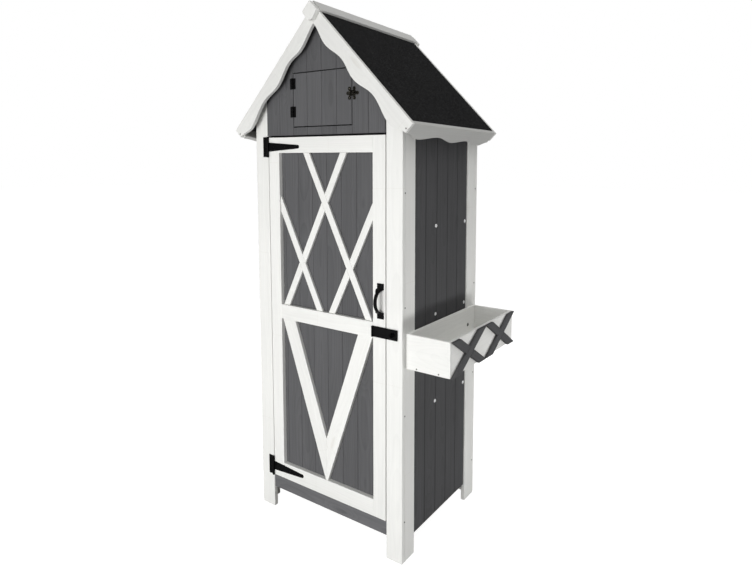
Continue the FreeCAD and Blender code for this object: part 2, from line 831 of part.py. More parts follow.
def leaf_plate(middle_x, reach):
    """Flat ornamental plate: three lobes joined by narrow waists to a disc in the middle."""
    y = (loft_leaf_front, gable_face)
    half = latch_waist / 2
    rise = (latch_height - latch_lobe_rise, latch_height + latch_lobe_rise)
    upright = box((middle_x - half, middle_x + half), y, rise)
    ends = sorted((middle_x, middle_x + reach))
    level = box(ends, y, (latch_height - half, latch_height + half))
    pieces = [upright, level]
    for along, across in ((0, 0), (reach, 0), (0, latch_lobe_rise), (0, -latch_lobe_rise)):
        pieces.append(rod("y", middle_x + along, latch_height + across, y[0], y[1], latch_lobe_radius))
    return pieces


def latch_plate():
    """Plate on the loft door with the pin of the latch."""
    middle_x = latch_axis_x - latch_plate_offset
    lobes = leaf_plate(middle_x, -latch_plate_reach)
    edge_x = latch_axis_x + latch_barrel_radius
    bridge = box((middle_x, edge_x), (loft_leaf_front, gable_face), latch_span)
    block = box((latch_axis_x - latch_barrel_radius, edge_x), (latch_axis_y, loft_leaf_front), latch_span)
    return [pinned_base(fused(lobes + [bridge, block]), latch_axis_x, latch_axis_y, latch_span,
                        latch_barrel_radius, latch_pin_radius)]


def latch_keeper():
    """Plate on the gable with the stud that the latch closes over."""
    stud_front = loft_leaf_front - latch_stud_height
    stud = rod("y", latch_hole_x, latch_height, stud_front, gable_face, latch_stud_radius)
    return [fused(leaf_plate(latch_hole_x, latch_keeper_reach) + [stud])]


def latch_strap():
    """Small strap with a round end and a hole for the stud."""
    back = loft_leaf_front - hasp_lift
    y = (back - loft_leaf, back)
    leaf = box((latch_axis_x, latch_hole_x), y, latch_span)
    end = rod("y", latch_hole_x, latch_height, y[0], y[1], latch_barrel_length / 2)
    hole = rod("y", latch_hole_x, latch_height, -everywhere, everywhere, latch_hole_radius)
    return [pinned_leaf(fused([leaf, end]).cut(hole), latch_axis_x, latch_axis_y, latch_span,
                        latch_barrel_radius, latch_pin_radius)]


def planter_back():
    """Board of the planter against the posts."""
    return [box((planter_x[0], planter_x[0] + planter_board), planter_inner_y, planter_z)]


def planter_outer():
    """Outer long board of the planter."""
    return [box((planter_x[1] - planter_board, planter_x[1]), planter_inner_y, planter_z)]


def planter_ends():
    """End boards of the planter, over the ends of the long boards."""
    return [box(planter_x, (planter_y[0], planter_inner_y[0]), planter_z),
            box(planter_x, (planter_inner_y[1], planter_y[1]), planter_z)]


def planter_floor():
    """Bottom board between the four sides of the planter."""
    low = planter_bottom + planter_floor_lift
    return [box((planter_x[0] + planter_board, planter_x[1] - planter_board), planter_inner_y,
                (low, low + planter_board))]


def planter_strip(low_y, high_y):
    """Slanting strip on the outer board, cut level with its top and bottom edges."""
    outline = [(low_y, planter_z[0]), (low_y + planter_strip_cut, planter_z[0]),
               (high_y + planter_strip_cut, planter_z[1]), (high_y, planter_z[1])]
    return prism(outline, "x", planter_x[1], planter_x[1] + planter_strip_thickness)


def planter_lattice():
    """Two crosses of strips; the rising strips run through, the falling ones are cut."""
    half = (planter_y[1] - planter_y[0]) / 2
    rising = []
    falling = []
    for start in (planter_y[0], planter_y[0] + half):
        end = start + half - planter_strip_cut
        rising.append(planter_strip(start, end))
        falling.append(planter_strip(end, start))
    through = Part.makeCompound(rising)
    cut = [piece for strip in falling for piece in strip.cut(through).Solids]
    return rising + cut


def side_screws():
    """Screw heads on both side walls, into the shelf cleats."""
    right = []
    for height in cleat_heights:
        for y in screw_places:
            right.append(rod("x", y, height, wall_face, wall_face + screw_head_height, screw_head_radius))
    return right + mirrored(right)


def nail_heads():
    """Small heads on the posts, the bargeboards and the ends of the planter."""
    solids = []
    right = []
    for height in post_nail_heights:
        for y in (nail_edge, body_depth - nail_edge):
            inside_planter = planter_z[0] < height < planter_z[1]
            if not inside_planter:
                right.append(rod("x", y, height, body_half, body_half + nail_head_height, nail_head_radius))
    solids += right + mirrored(right)
    for side in (-1, 1):
        x, z = slope_point(side, slope_length - bargeboard_nail_inset, bargeboard_nail_depth)
        front = -front_overhang
        back = body_depth + rear_overhang
        solids.append(rod("y", x, z, front - nail_head_height, front, nail_head_radius))
        solids.append(rod("y", x, z, back, back + nail_head_height, nail_head_radius))
    low = planter_bottom + planter_floor_lift + planter_board / 2
    quarter = planter_width / 4
    for x in (planter_x[0] + quarter, planter_x[1] - quarter):
        solids.append(rod("y", x, low, planter_y[0] - nail_head_height, planter_y[0], nail_head_radius))
        solids.append(rod("y", x, low, planter_y[1], planter_y[1] + nail_head_height, nail_head_radius))
    return solids


def build():
    """All nodes by name, each as a list of its solids."""
    nodes = {
        "left_front_post": l_post(-1, False),
        "right_front_post": l_post(1, False),
        "left_rear_post": l_post(-1, True),
        "right_rear_post": l_post(1, True),
        "corner_battens": corner_battens(),
        "left_wall_boards": mirrored(side_wall()),
        "right_wall_boards": side_wall(),
        "rear_wall_boards": rear_wall(),
        "front_gable_boards": front_gable(),
        "plinth_board": plinth(),
        "floor_boards": floor_boards(),
        "floor_bearers": bearers(floor_top - floor_thickness) + bearers(loft_floor_bottom),
        "door_stop": door_stop(),
        "loft_floor": loft_floor(),
        "rafters": rafters(),
        "shelf_cleats": shelf_cleats(),
        "left_roof_boards": roof_deck(-1),
        "right_roof_boards": roof_deck(1),
        "roof_felt": roof_felt(),
        "left_eave_fascia": eave_fascia(-1),
        "right_eave_fascia": eave_fascia(1),
        "ridge_cap": ridge_cap(),
        "ridge_end_plates": ridge_plates(),
        "door_left_stile": door_stile(-1),
        "door_right_stile": door_stile(1),
        "door_top_rail": door_rail(door_top - top_rail_height, door_top),
        "door_mid_rail": door_rail(mid_rail_bottom, mid_rail_bottom + mid_rail_height),
        "door_bottom_rail": door_rail(door_bottom, door_bottom + bottom_rail_height),
        "door_boards": door_boards(),
        "door_lattice": door_lattice(),
        "door_v_brace": v_brace(),
        "hinge_plates": hinge_plates(),
        "hinge_pins": hinge_pins(),
        "hinge_straps": hinge_straps(),
        "door_handle": handle(),
        "hasp_base": hasp_base(),
        "hasp_strap": hasp_strap(),
        "staple_plate": staple_plate(),
        "turn_staple": turn_staple(),
        "loft_door_boards": loft_door_boards(),
        "loft_door_ledges": loft_door_ledges(),
        "loft_hinge_leaves": loft_hinge_leaves(False),
        "loft_door_hinge_leaves": loft_hinge_leaves(True),
        "loft_latch_plate": latch_plate(),
        "loft_latch_keeper": latch_keeper(),
        "loft_latch_strap": latch_strap(),
        "planter_back_board": planter_back(),
        "planter_outer_board": planter_outer(),
        "planter_end_boards": planter_ends(),
        "planter_floor": planter_floor(),
        "planter_lattice": planter_lattice(),
        "side_screws": side_screws(),
        "nail_heads": nail_heads(),
    }
    for name, height in zip(shelf_names, cleat_heights):
        nodes[name] = shelf(height)
    for end, y_low in (("front", -front_overhang), ("rear", roof_back)):
        nodes["left_" + end + "_bargeboard"] = bargeboard(-1, y_low)
        nodes["right_" + end + "_bargeboard"] = bargeboard(1, y_low)
    return nodes


nodes = build()
bounds = Part.makeCompound([solid for solids in nodes.values() for solid in solids]).BoundBox
origin_shift = Vector(-(bounds.XMin + bounds.XMax) / 2, -(bounds.YMin + bounds.YMax) / 2, -bounds.ZMin)

os.makedirs("parts", exist_ok=True)
for name, solids in nodes.items():
    shape = solids[0] if len(solids) == 1 else Part.makeCompound(solids)
    shape.translate(origin_shift)
    shape.exportStep("parts/" + name + ".step")
print(len(nodes), "nodes, size", round(bounds.XLength, 1), round(bounds.YLength, 1), round(bounds.ZLength, 1))
print("origin shift", [round(value, 3) for value in origin_shift])
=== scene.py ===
"""Finishes, small fittings, camera and light of a garden storage cabinet.

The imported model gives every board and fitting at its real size. This script eases
their edges, gives each board grain along its own length, dresses them in paint,
bare timber, roofing felt and coated metal, and adds the heads of the screws.
"""

import json
import logging
import math
import random
from collections.abc import Callable, Iterable, Sequence
from dataclasses import dataclass, field, replace
from enum import Enum
from typing import Any

import bmesh
import bpy
from mathutils import Matrix, Vector

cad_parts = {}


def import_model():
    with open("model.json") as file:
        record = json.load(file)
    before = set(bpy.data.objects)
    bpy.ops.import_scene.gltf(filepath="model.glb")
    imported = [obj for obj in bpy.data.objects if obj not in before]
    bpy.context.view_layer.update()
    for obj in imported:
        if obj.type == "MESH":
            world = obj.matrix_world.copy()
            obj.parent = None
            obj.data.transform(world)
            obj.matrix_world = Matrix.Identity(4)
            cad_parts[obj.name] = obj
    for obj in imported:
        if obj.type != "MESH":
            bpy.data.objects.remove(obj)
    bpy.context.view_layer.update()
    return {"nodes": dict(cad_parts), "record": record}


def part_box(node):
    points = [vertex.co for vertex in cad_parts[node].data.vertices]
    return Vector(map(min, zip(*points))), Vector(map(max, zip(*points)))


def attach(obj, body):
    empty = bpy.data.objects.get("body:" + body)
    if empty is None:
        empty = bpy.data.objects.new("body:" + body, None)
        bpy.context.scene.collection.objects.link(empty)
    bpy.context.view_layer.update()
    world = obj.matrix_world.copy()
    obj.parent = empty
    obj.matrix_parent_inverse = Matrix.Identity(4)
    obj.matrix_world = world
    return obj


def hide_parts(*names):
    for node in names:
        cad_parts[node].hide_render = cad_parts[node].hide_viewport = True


log = logging.getLogger("cabinet")

MM = 0.001
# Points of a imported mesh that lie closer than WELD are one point.
WELD = 0.004 * MM
# A fitting loses edges shorter than SLIVER, which the rounding can't follow.
SLIVER = 0.12 * MM
# Triangles that turn by less than FLAT_ANGLE make one face, and edges past SHARP_ANGLE are eased.
FLAT_ANGLE = math.radians(0.1)
SHARP_ANGLE = math.radians(32.0)
# Two faces less than TOUCH_ANGLE apart round an edge lie on each other, where two solids touch.
TOUCH_ANGLE = math.radians(0.5)
# Cosine between a face's normal and the direction that it counts as looking in.
SQUARE_ON = 0.99
# Where nearly all values of a noise texture lie.
NOISE_RANGE = (0.3, 0.7)
# The photograph's size in pixels.
IMAGE_WIDTH = 752
IMAGE_HEIGHT = 565
WHITE_LIGHT = (1.0, 1.0, 1.0, 1.0)
UPRIGHT = Vector((0, 0, 1))
RIDGE_LINE = Vector((0, 1, 0))

Colour = tuple[float, float, float]
Stretch = tuple[float, float, float]
Spots = tuple[tuple[float, float], ...]
Box = tuple[Vector, Vector]
Mesh = bmesh.types.BMesh
Vert = bmesh.types.BMVert
Socket = bpy.types.NodeSocket
Sockets = bpy.types.bpy_prop_collection


class Slot(Enum):
    """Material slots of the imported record."""

    WHITE = "white_paint"
    GREY = "grey_paint"
    BARE = "bare_timber"
    FELT = "roofing_felt"
    BLACK = "black_hardware"
    STEEL = "steel_heads"


class Facing(Enum):
    """Directions in which a screw head can look."""

    FRONT = (0.0, -1.0, 0.0)
    LEFT = (-1.0, 0.0, 0.0)
    RIGHT = (1.0, 0.0, 0.0)


@dataclass
class Graph:
    """Short calls that place and join the nodes of one shader or geometry tree."""

    tree: bpy.types.NodeTree

    def fill(self, node: bpy.types.Node, values: dict[Any, Any]) -> None:
        """Join inputs of a node to sockets, or give them plain values.

        Args:
            node: The node.
            values: Values or sockets by the name or number of the input.
        """
        for name, value in values.items():
            if isinstance(value, bpy.types.NodeSocket):
                self.tree.links.new(value, node.inputs[name])
            else:
                node.inputs[name].default_value = value

    def node(self, kind: str, inputs: dict[Any, Any] | None = None, **settings: Any) -> bpy.types.Node:
        """Add a node.

        Args:
            kind: The node's type name.
            inputs: Values or sockets by the name or number of the input.
            **settings: Properties of the node itself.

        Returns:
            The new node.
        """
        made = self.tree.nodes.new(kind)
        for name, value in settings.items():
            setattr(made, name, value)
        self.fill(made, inputs or {})
        return made

    def out(self, kind: str, inputs: dict[Any, Any] | None = None, output: int | str = 0,
            **settings: Any) -> Socket:
        """Add a node and return one of its outputs."""
        return self.node(kind, inputs, **settings).outputs[output]

    def math(self, operation: str, *values: Any, clamp: bool = False) -> Socket:
        """Add a Math node and return its result."""
        return self.out("ShaderNodeMath", dict(enumerate(values)), operation=operation, use_clamp=clamp)

    def plus(self, first: Any, second: Any) -> Socket:
        """Add two values."""
        return self.math("ADD", first, second)

    def minus(self, first: Any, second: Any) -> Socket:
        """Take one value from another."""
        return self.math("SUBTRACT", first, second)

    def times(self, value: Any, *others: Any, clamp: bool = False) -> Socket:
        """Multiply a value by others, one after another.

        Args:
            value: The first value.
            *others: What it is multiplied by.
            clamp: Whether the product is held between 0 and 1.

        Returns:
            The product.
        """
        for other in others:
            value = self.math("MULTIPLY", value, other, clamp=clamp)
        return value

    def vector(self, operation: str, output: str, *values: Any) -> Socket:
        """Add a Vector Math node and return its "Vector" or "Value" output."""
        return self.out("ShaderNodeVectorMath", dict(enumerate(values)), output, operation=operation)

    def stretched(self, place: Any, stretch: Stretch) -> Socket:
        """Multiply a place by a number for each axis."""
        return self.vector("MULTIPLY", "Vector", place, stretch)

    def scaled(self, colour: Any, level: Any) -> Socket:
        """Multiply a colour by a level."""
        return self.out("ShaderNodeVectorMath", {0: colour, "Scale": level}, operation="SCALE")

    def split(self, vector: Any) -> Sockets:
        """Take a vector apart into "X", "Y" and "Z"."""
        return self.node("ShaderNodeSeparateXYZ", {"Vector": vector}).outputs

    def join(self, x: Any, y: Any, z: Any) -> Socket:
        """Make a vector of three values."""
        return self.out("ShaderNodeCombineXYZ", {"X": x, "Y": y, "Z": z})

    def attribute(self, name: str, output: str = "Vector") -> Socket:
        """Read an attribute of the piece."""
        return self.out("ShaderNodeAttribute", None, output, attribute_name=name)

    def remap(self, value: Any, low: float, high: float, to_low: float = 0.0, to_high: float = 1.0,
              smooth: bool = False) -> Socket:
        """Map a value from one range to another, held inside it.

        Args:
            value: The value.
            low: Start of its range.
            high: End of its range.
            to_low: Result at the start.
            to_high: Result at the end.
            smooth: Whether the result eases in and out.

        Returns:
            The mapped value.
        """
        inputs = {"Value": value, "From Min": low, "From Max": high, "To Min": to_low, "To Max": to_high}
        return self.out("ShaderNodeMapRange", inputs, "Result",
                        interpolation_type="SMOOTHSTEP" if smooth else "LINEAR")

    def around(self, noise: Any, spread: float, centre: float = 1.0) -> Socket:
        """Turn a noise value into a level that swings by a spread to both sides of a centre."""
        return self.remap(noise, *NOISE_RANGE, centre - spread, centre + spread)

    def mix(self, share: Any, first: Any, second: Any) -> Socket:
        """Mix two colours."""
        return self.out("ShaderNodeMix", {0: share, 6: first, 7: second}, 2, data_type="RGBA")

    def noise(self, place: Any, scale: Any, detail: float = 2.0, rough: float = 0.5) -> Socket:
        """Add a noise texture and return its value."""
        inputs = {"Vector": place, "Scale": scale, "Detail": detail, "Roughness": rough}
        return self.out("ShaderNodeTexNoise", inputs)

    def group(self, tree: bpy.types.NodeTree, inputs: dict[str, Any]) -> Sockets:
        """Place a shared group with values on its inputs, and return its outputs by name."""
        return self.node("ShaderNodeGroup", inputs, node_tree=tree).outputs

    def bump(self, shader: bpy.types.Node, height: Any, distance: float, strength: float) -> None:
        """Turn a height into the shader's normal."""
        inputs = {"Height": height, "Strength": strength, "Distance": distance}
        self.fill(shader, {"Normal": self.out("ShaderNodeBump", inputs, "Normal")})


def opaque(colour: Colour) -> tuple[float, float, float, float]:
    """Colour with full alpha."""
    return (*colour, 1.0)


def new_group(name: str, inputs: Sequence[tuple[str, str, Any]], outputs: Sequence[tuple[str, str]],
              kind: str = "ShaderNodeTree") -> tuple[Graph, Sockets, bpy.types.Node]:
    """Start a node group with named sockets.

    Args:
        name: Name of the group.
        inputs: Name, socket kind and default value of each input.
        outputs: Name and socket kind of each output.
        kind: Kind of node tree.

    Returns:
        The group's graph, what its inputs give and its output node.
    """
    tree = bpy.data.node_groups.new(name, kind)
    for label, socket_kind, value in inputs:
        socket = tree.interface.new_socket(label, in_out="INPUT", socket_type="NodeSocket" + socket_kind)
        if value is not None:
            socket.default_value = value
    for label, socket_kind in outputs:
        tree.interface.new_socket(label, in_out="OUTPUT", socket_type="NodeSocket" + socket_kind)
    graph = Graph(tree)
    return graph, graph.node("NodeGroupInput").outputs, graph.node("NodeGroupOutput")


def start_material(name: str) -> tuple[bpy.types.Material, Graph, bpy.types.Node]:
    """Start a material with a Principled shader joined to its output.

    Args:
        name: Name of the material.

    Returns:
        The material, the graph of its nodes and the shader node.
    """
    material = bpy.data.materials.new(name)
    material.use_nodes = True
    return material, Graph(material.node_tree), material.node_tree.nodes["Principled BSDF"]


@dataclass
class Effects:
    """Shader groups that more than one finish uses, each made once."""

    knot_cells: Stretch = (3.1, 12.0, 12.0)
    knot_rim: tuple[float, float] = (0.115, 0.07)
    pull_reach: tuple[float, float] = (0.34, 0.02)
    pull: float = 0.02
    sway_stretch: Stretch = (1.3, 5.0, 5.0)
    sway: float = 0.05
    drift_stretch: Stretch = (2.1, 0.0, 0.0)
    drift: float = 0.06
    ring_power: float = 2.2
    ring_end: float = 0.92
    fibre_stretch: Stretch = (9.0, 620.0, 620.0)
    streak_stretch: Stretch = (2.6, 95.0, 95.0)
    seam_zigzag: float = 0.004
    seam_rim: tuple[float, float] = (0.0016, 0.0006)
    edge_width: float = 1.6 * MM
    edge_turn: tuple[float, float] = (0.01, 0.16)
    edge_patches: tuple[float, float] = (0.42, 0.68)

    def __post_init__(self) -> None:
        """Build every group."""
        self.grain = self._timber_grain()
        self.edges = self._worn_edges()
        self.skin = self._skin()

    def _timber_grain(self) -> bpy.types.NodeTree:
        """Year rings, fibre, streaks, knots and glue seams from a place along, across and through a board.

        Returns:
            The group.
        """
        graph, given, result = new_group(
            "timber_grain",
            [("Place", "Vector", None), ("Ring Width", "Float", 0.006), ("Knot Share", "Float", 0.15),
             ("Stave Length", "Float", 0.62)],
            [(mark, "Float") for mark in ("Rings", "Fibre", "Streaks", "Knots", "Seam")],
        )
        place = given["Place"]
        parts = graph.split(place)
        cell = graph.node("ShaderNodeTexVoronoi", {"Vector": graph.stretched(place, self.knot_cells),
                                                   "Scale": 1.0}).outputs
        chosen = graph.out("ShaderNodeSeparateColor", {"Color": cell["Color"]}, "Red")
        allowed = graph.math("LESS_THAN", chosen, given["Knot Share"])
        pull = graph.times(graph.remap(cell["Distance"], *self.pull_reach, smooth=True), allowed, self.pull)

        sway = graph.minus(graph.noise(graph.stretched(place, self.sway_stretch), 1.0), 0.5)
        drift = graph.minus(graph.noise(graph.stretched(place, self.drift_stretch), 1.0), 0.5)
        depth = graph.plus(parts["Z"], graph.times(drift, self.drift))
        across = graph.plus(parts["Y"], graph.times(sway, self.sway))
        radius = graph.plus(graph.vector("LENGTH", "Value", graph.join(0.0, across, depth)), pull)
        ring = graph.math("FRACT", graph.math("DIVIDE", radius, given["Ring Width"]))
        rings = graph.times(graph.math("POWER", ring, self.ring_power), graph.remap(ring, 1.0, self.ring_end))

        fibre = graph.noise(graph.stretched(place, self.fibre_stretch), 1.0, detail=3.0, rough=0.65)
        streaks = graph.noise(graph.stretched(place, self.streak_stretch), 1.0, detail=3.0, rough=0.6)
        knots = graph.times(graph.remap(cell["Distance"], *self.knot_rim, smooth=True), allowed)
        along = graph.math("FRACT", graph.math("DIVIDE", parts["X"], given["Stave Length"]))
        middle = graph.plus(0.5, graph.math("PINGPONG", parts["Y"], self.seam_zigzag))
        offset = graph.math("ABSOLUTE", graph.minus(along, middle))
        seam = graph.remap(offset, *self.seam_rim, smooth=True)
        graph.fill(result, {"Rings": rings, "Fibre": fibre, "Streaks": streaks, "Knots": knots, "Seam": seam})
        return graph.tree

    def _worn_edges(self) -> bpy.types.NodeTree:
        """Mask of the outer edges of a piece, broken up by noise.

        Returns:
            The group.
        """
        graph, given, result = new_group(
            "worn_edges",
            [("Place", "Vector", None), ("Amount", "Float", 0.5), ("Patch Scale", "Float", 60.0)],
            [("Mask", "Float")],
        )
        soft = graph.out("ShaderNodeBevel", {"Radius": self.edge_width}, "Normal", samples=4)
        normal = graph.out("ShaderNodeNewGeometry", None, "Normal")
        turned = graph.minus(1.0, graph.vector("DOT_PRODUCT", "Value", soft, normal))
        spread = graph.noise(given["Place"], given["Patch Scale"], detail=4.0)
        patch = graph.remap(spread, *self.edge_patches)
        edge = graph.times(graph.remap(turned, *self.edge_turn), patch)
        graph.fill(result, {"Mask": graph.times(edge, given["Amount"], clamp=True)})
        return graph.tree

    @staticmethod
    def _skin() -> bpy.types.NodeTree:
        """Slow cloudy tone and a fine orange-peel height for a sprayed or brushed coat.

        Returns:
            The group.
        """
        graph, given, result = new_group(
            "coat_skin",
            [("Place", "Vector", None), ("Cloud Scale", "Float", 4.0), ("Peel Scale", "Float", 700.0)],
            [("Cloud", "Float"), ("Peel", "Float")],
        )
        graph.fill(result, {"Cloud": graph.noise(given["Place"], given["Cloud Scale"], detail=3.0),
                            "Peel": graph.noise(given["Place"], given["Peel Scale"], detail=1.0)})
        return graph.tree


@dataclass(frozen=True)
class Finish:
    """What a piece is coated with or made of, and the slot that it fills."""

    name: str
    slot: Slot

    def material(self, effects: Effects) -> bpy.types.Material:
        """Build the material.

        Args:
            effects: The shared groups.

        Returns:
            The material.
        """
        material, graph, shader = start_material(self.name)
        self.dress(graph, shader, effects)
        return material

    def dress(self, graph: Graph, shader: bpy.types.Node, effects: Effects) -> None:
        """Give the shader its colour, roughness and relief; each kind of finish has its own way."""
        raise NotImplementedError


@dataclass(frozen=True)
class CoatedTimber(Finish):
    """Opaque paint or stain on planed softwood whose grain still shows a little."""

    colour: Colour
    line_tone: float
    streak_tone: float
    board_tone: float
    cloud_tone: float
    knot_tint: Colour
    knot_share: float
    knot_cover: float
    seam_cover: float
    wear_tint: Colour
    wear: float
    relief: float
    roughness: float
    shine: float
    line_cover: float = 0.6
    cloud_stretch: Stretch = (0.25, 1.0, 1.0)
    cloud_scale: float = 14.0
    rough_spread: float = 0.06
    seam_depth: float = 0.8
    relief_strength: float = 0.6
    # Distances from a board's long edge over which the painted groove shade fades out.
    groove_shade_edge: tuple[float, float] = (2.4 * MM, 0.9 * MM)

    def lit_shaded_or_toned(self, name: str, level: float) -> "CoatedTimber":
        """Copy the same paint lighter or darker: most copies are painted light or shade, and the loft door's
        is its own tone.

        Args:
            name: Name of the new finish.
            level: What its colours are multiplied by.

        Returns:
            The new finish.
        """
        colours = {part: tuple(channel * level for channel in getattr(self, part))
                   for part in ("colour", "knot_tint", "wear_tint")}
        return replace(self, name=name, **colours)

    def dress(self, graph: Graph, shader: bpy.types.Node, effects: Effects) -> None:
        """Lay the paint over the grain, with painted shade at the joints and worn at the edges.

        Args:
            graph: Graph of the material.
            shader: Its shader node.
            effects: The shared groups.
        """
        place = graph.attribute("board_place")
        grain = graph.group(effects.grain, {"Place": place, "Knot Share": self.knot_share})
        skin = graph.group(effects.skin, {"Place": graph.stretched(place, self.cloud_stretch),
                                          "Cloud Scale": self.cloud_scale})
        dark = tuple(channel * (1.0 - self.line_tone) for channel in self.colour)
        lines = graph.plus(grain["Rings"], grain["Fibre"])
        share = graph.times(lines, self.line_cover, clamp=True)
        colour = graph.mix(share, opaque(self.colour), opaque(dark))
        for mark, cover in ((grain["Knots"], self.knot_cover), (grain["Seam"], self.seam_cover)):
            colour = graph.mix(graph.times(mark, cover), colour, opaque(self.knot_tint))
        swing = graph.remap(graph.attribute("board_tone", "Fac"), 0.0, 1.0,
                            1.0 - self.board_tone, 1.0 + self.board_tone)
        # The groove mask takes light off the level, as painted shade between boards.
        level = graph.times(swing, graph.around(skin["Cloud"], self.cloud_tone),
                            graph.around(grain["Streaks"], self.streak_tone),
                            graph.minus(1.0, self._groove_shade(graph)))
        edges = graph.group(effects.edges, {"Place": place, "Amount": self.wear})
        worn = graph.mix(edges["Mask"], graph.scaled(colour, level), opaque(self.wear_tint))
        rough = graph.around(skin["Cloud"], self.rough_spread, self.roughness)
        graph.fill(shader, {"Base Color": worn, "Roughness": rough, "Specular IOR Level": self.shine})
        height = graph.minus(graph.times(lines, 0.5), graph.times(grain["Seam"], self.seam_depth))
        graph.bump(shader, height, self.relief, self.relief_strength)

    def _groove_shade(self, graph: Graph) -> Socket:
        """Mask of a board's long edges, darkened as painted shade in the groove with the next board.

        Args:
            graph: Graph of the material.

        Returns:
            How dark the painted shade in the groove is, 0 inside the board.
        """
        rim = graph.split(graph.attribute("board_rim"))
        inside = graph.minus(rim["Y"], graph.math("ABSOLUTE", rim["X"]))
        return graph.times(graph.remap(inside, *self.groove_shade_edge, smooth=True), rim["Z"])


@dataclass(frozen=True)
class BareTimber(Finish):
    """Planed pine without paint, as inside the cabinet."""

    early: Colour
    late: Colour
    knot: Colour
    ring_width: float = 0.0048
    knot_share: float = 0.2
    seam_cover: float = 0.6
    board_range: tuple[float, float] = (0.88, 1.08)
    fibre_range: tuple[float, float] = (0.7, 1.0)
    rough_range: tuple[float, float] = (0.55, 0.7)
    streak_tone: float = 0.06
    relief: float = 0.15 * MM
    relief_strength: float = 0.5

    def dress(self, graph: Graph, shader: bpy.types.Node, effects: Effects) -> None:
        """Show the rings, fibre and knots of the bare pine.

        Args:
            graph: Graph of the material.
            shader: Its shader node.
            effects: The shared groups.
        """
        grain = graph.group(effects.grain, {"Place": graph.attribute("board_place"),
                                            "Ring Width": self.ring_width, "Knot Share": self.knot_share})
        fibre = graph.remap(grain["Fibre"], *NOISE_RANGE, *self.fibre_range)
        share = graph.times(grain["Rings"], fibre, clamp=True)
        colour = graph.mix(share, opaque(self.early), opaque(self.late))
        colour = graph.mix(grain["Knots"], colour, opaque(self.knot))
        colour = graph.mix(graph.times(grain["Seam"], self.seam_cover), colour, opaque(self.late))
        tone = graph.remap(graph.attribute("board_tone", "Fac"), 0.0, 1.0, *self.board_range)
        level = graph.times(tone, graph.around(grain["Streaks"], self.streak_tone))
        rough = graph.remap(grain["Fibre"], *NOISE_RANGE, *self.rough_range)
        graph.fill(shader, {"Base Color": graph.scaled(colour, level), "Roughness": rough})
        graph.bump(shader, grain["Fibre"], self.relief, self.relief_strength)


@dataclass(frozen=True)
class RoofingFelt(Finish):
    """Black felt with mineral grit on its face."""

    tar: Colour
    grit: Colour
    speck: Colour
    grain_scale: float
    shine: float
    grain_edge: tuple[float, float] = (0.55, 0.35)
    speck_power: float = 4.0
    patch_scale: float = 130.0
    patch_edge: tuple[float, float] = (0.35, 0.65)
    patch_range: tuple[float, float] = (0.6, 1.4)
    cloud_scale: float = 7.0
    cloud_tone: float = 0.04
    rough_range: tuple[float, float] = (0.75, 0.95)
    relief: float = 0.5 * MM
    relief_strength: float = 0.9

    def dress(self, graph: Graph, shader: bpy.types.Node, effects: Effects) -> None:
        """Strew the grit, a cell pattern with one tone for each grain.

        Args:
            graph: Graph of the material.
            shader: Its shader node.
            effects: The shared groups.
        """
        place = graph.out("ShaderNodeTexCoord", None, "Object")
        cells = graph.node("ShaderNodeTexVoronoi", {"Vector": place, "Scale": self.grain_scale}).outputs
        each = graph.node("ShaderNodeSeparateColor", {"Color": cells["Color"]}).outputs
        cover = graph.remap(cells["Distance"], *self.grain_edge, smooth=True)
        pale = graph.math("POWER", each["Red"], self.speck_power)
        stone = graph.mix(pale, opaque(self.grit), opaque(self.speck))
        spread = graph.noise(place, self.patch_scale, detail=4.0, rough=0.7)
        patches = graph.remap(spread, *self.patch_edge, *self.patch_range)
        skin = graph.group(effects.skin, {"Place": place, "Cloud Scale": self.cloud_scale})
        level = graph.times(patches, graph.around(skin["Cloud"], self.cloud_tone))
        graph.fill(shader, {"Base Color": graph.scaled(graph.mix(cover, opaque(self.tar), stone), level),
                            "Roughness": graph.remap(each["Green"], 0.0, 1.0, *self.rough_range),
                            "Specular IOR Level": self.shine})
        graph.bump(shader, graph.minus(1.0, cells["Distance"]), self.relief, self.relief_strength)


@dataclass(frozen=True)
class CoatedMetal(Finish):
    """Steel with a powder coat, or plain plated or bronzed metal where the metal share is 1."""

    colour: Colour
    wear_tint: Colour
    wear: float
    metal: float
    roughness: float
    peel: float
    shine: float = 0.5
    cloud_tone: float = 0.2
    cloud_scale: float = 55.0
    peel_scale: float = 1300.0
    patch_scale: float = 140.0
    rough_spread: float = 0.07
    relief_strength: float = 0.4

    def dress(self, graph: Graph, shader: bpy.types.Node, effects: Effects) -> None:
        """Lay the coat, cloudy on the faces and worn at the edges.

        Args:
            graph: Graph of the material.
            shader: Its shader node.
            effects: The shared groups.
        """
        place = graph.out("ShaderNodeTexCoord", None, "Object")
        skin = graph.group(effects.skin, {"Place": place, "Cloud Scale": self.cloud_scale,
                                          "Peel Scale": self.peel_scale})
        edges = graph.group(effects.edges, {"Place": place, "Amount": self.wear,
                                            "Patch Scale": self.patch_scale})
        base = graph.scaled(self.colour, graph.around(skin["Cloud"], self.cloud_tone))
        graph.fill(shader, {"Base Color": graph.mix(edges["Mask"], base, opaque(self.wear_tint)),
                            "Roughness": graph.around(skin["Cloud"], self.rough_spread, self.roughness),
                            "Specular IOR Level": self.shine, "Metallic": self.metal})
        graph.bump(shader, skin["Peel"], self.peel, self.relief_strength)


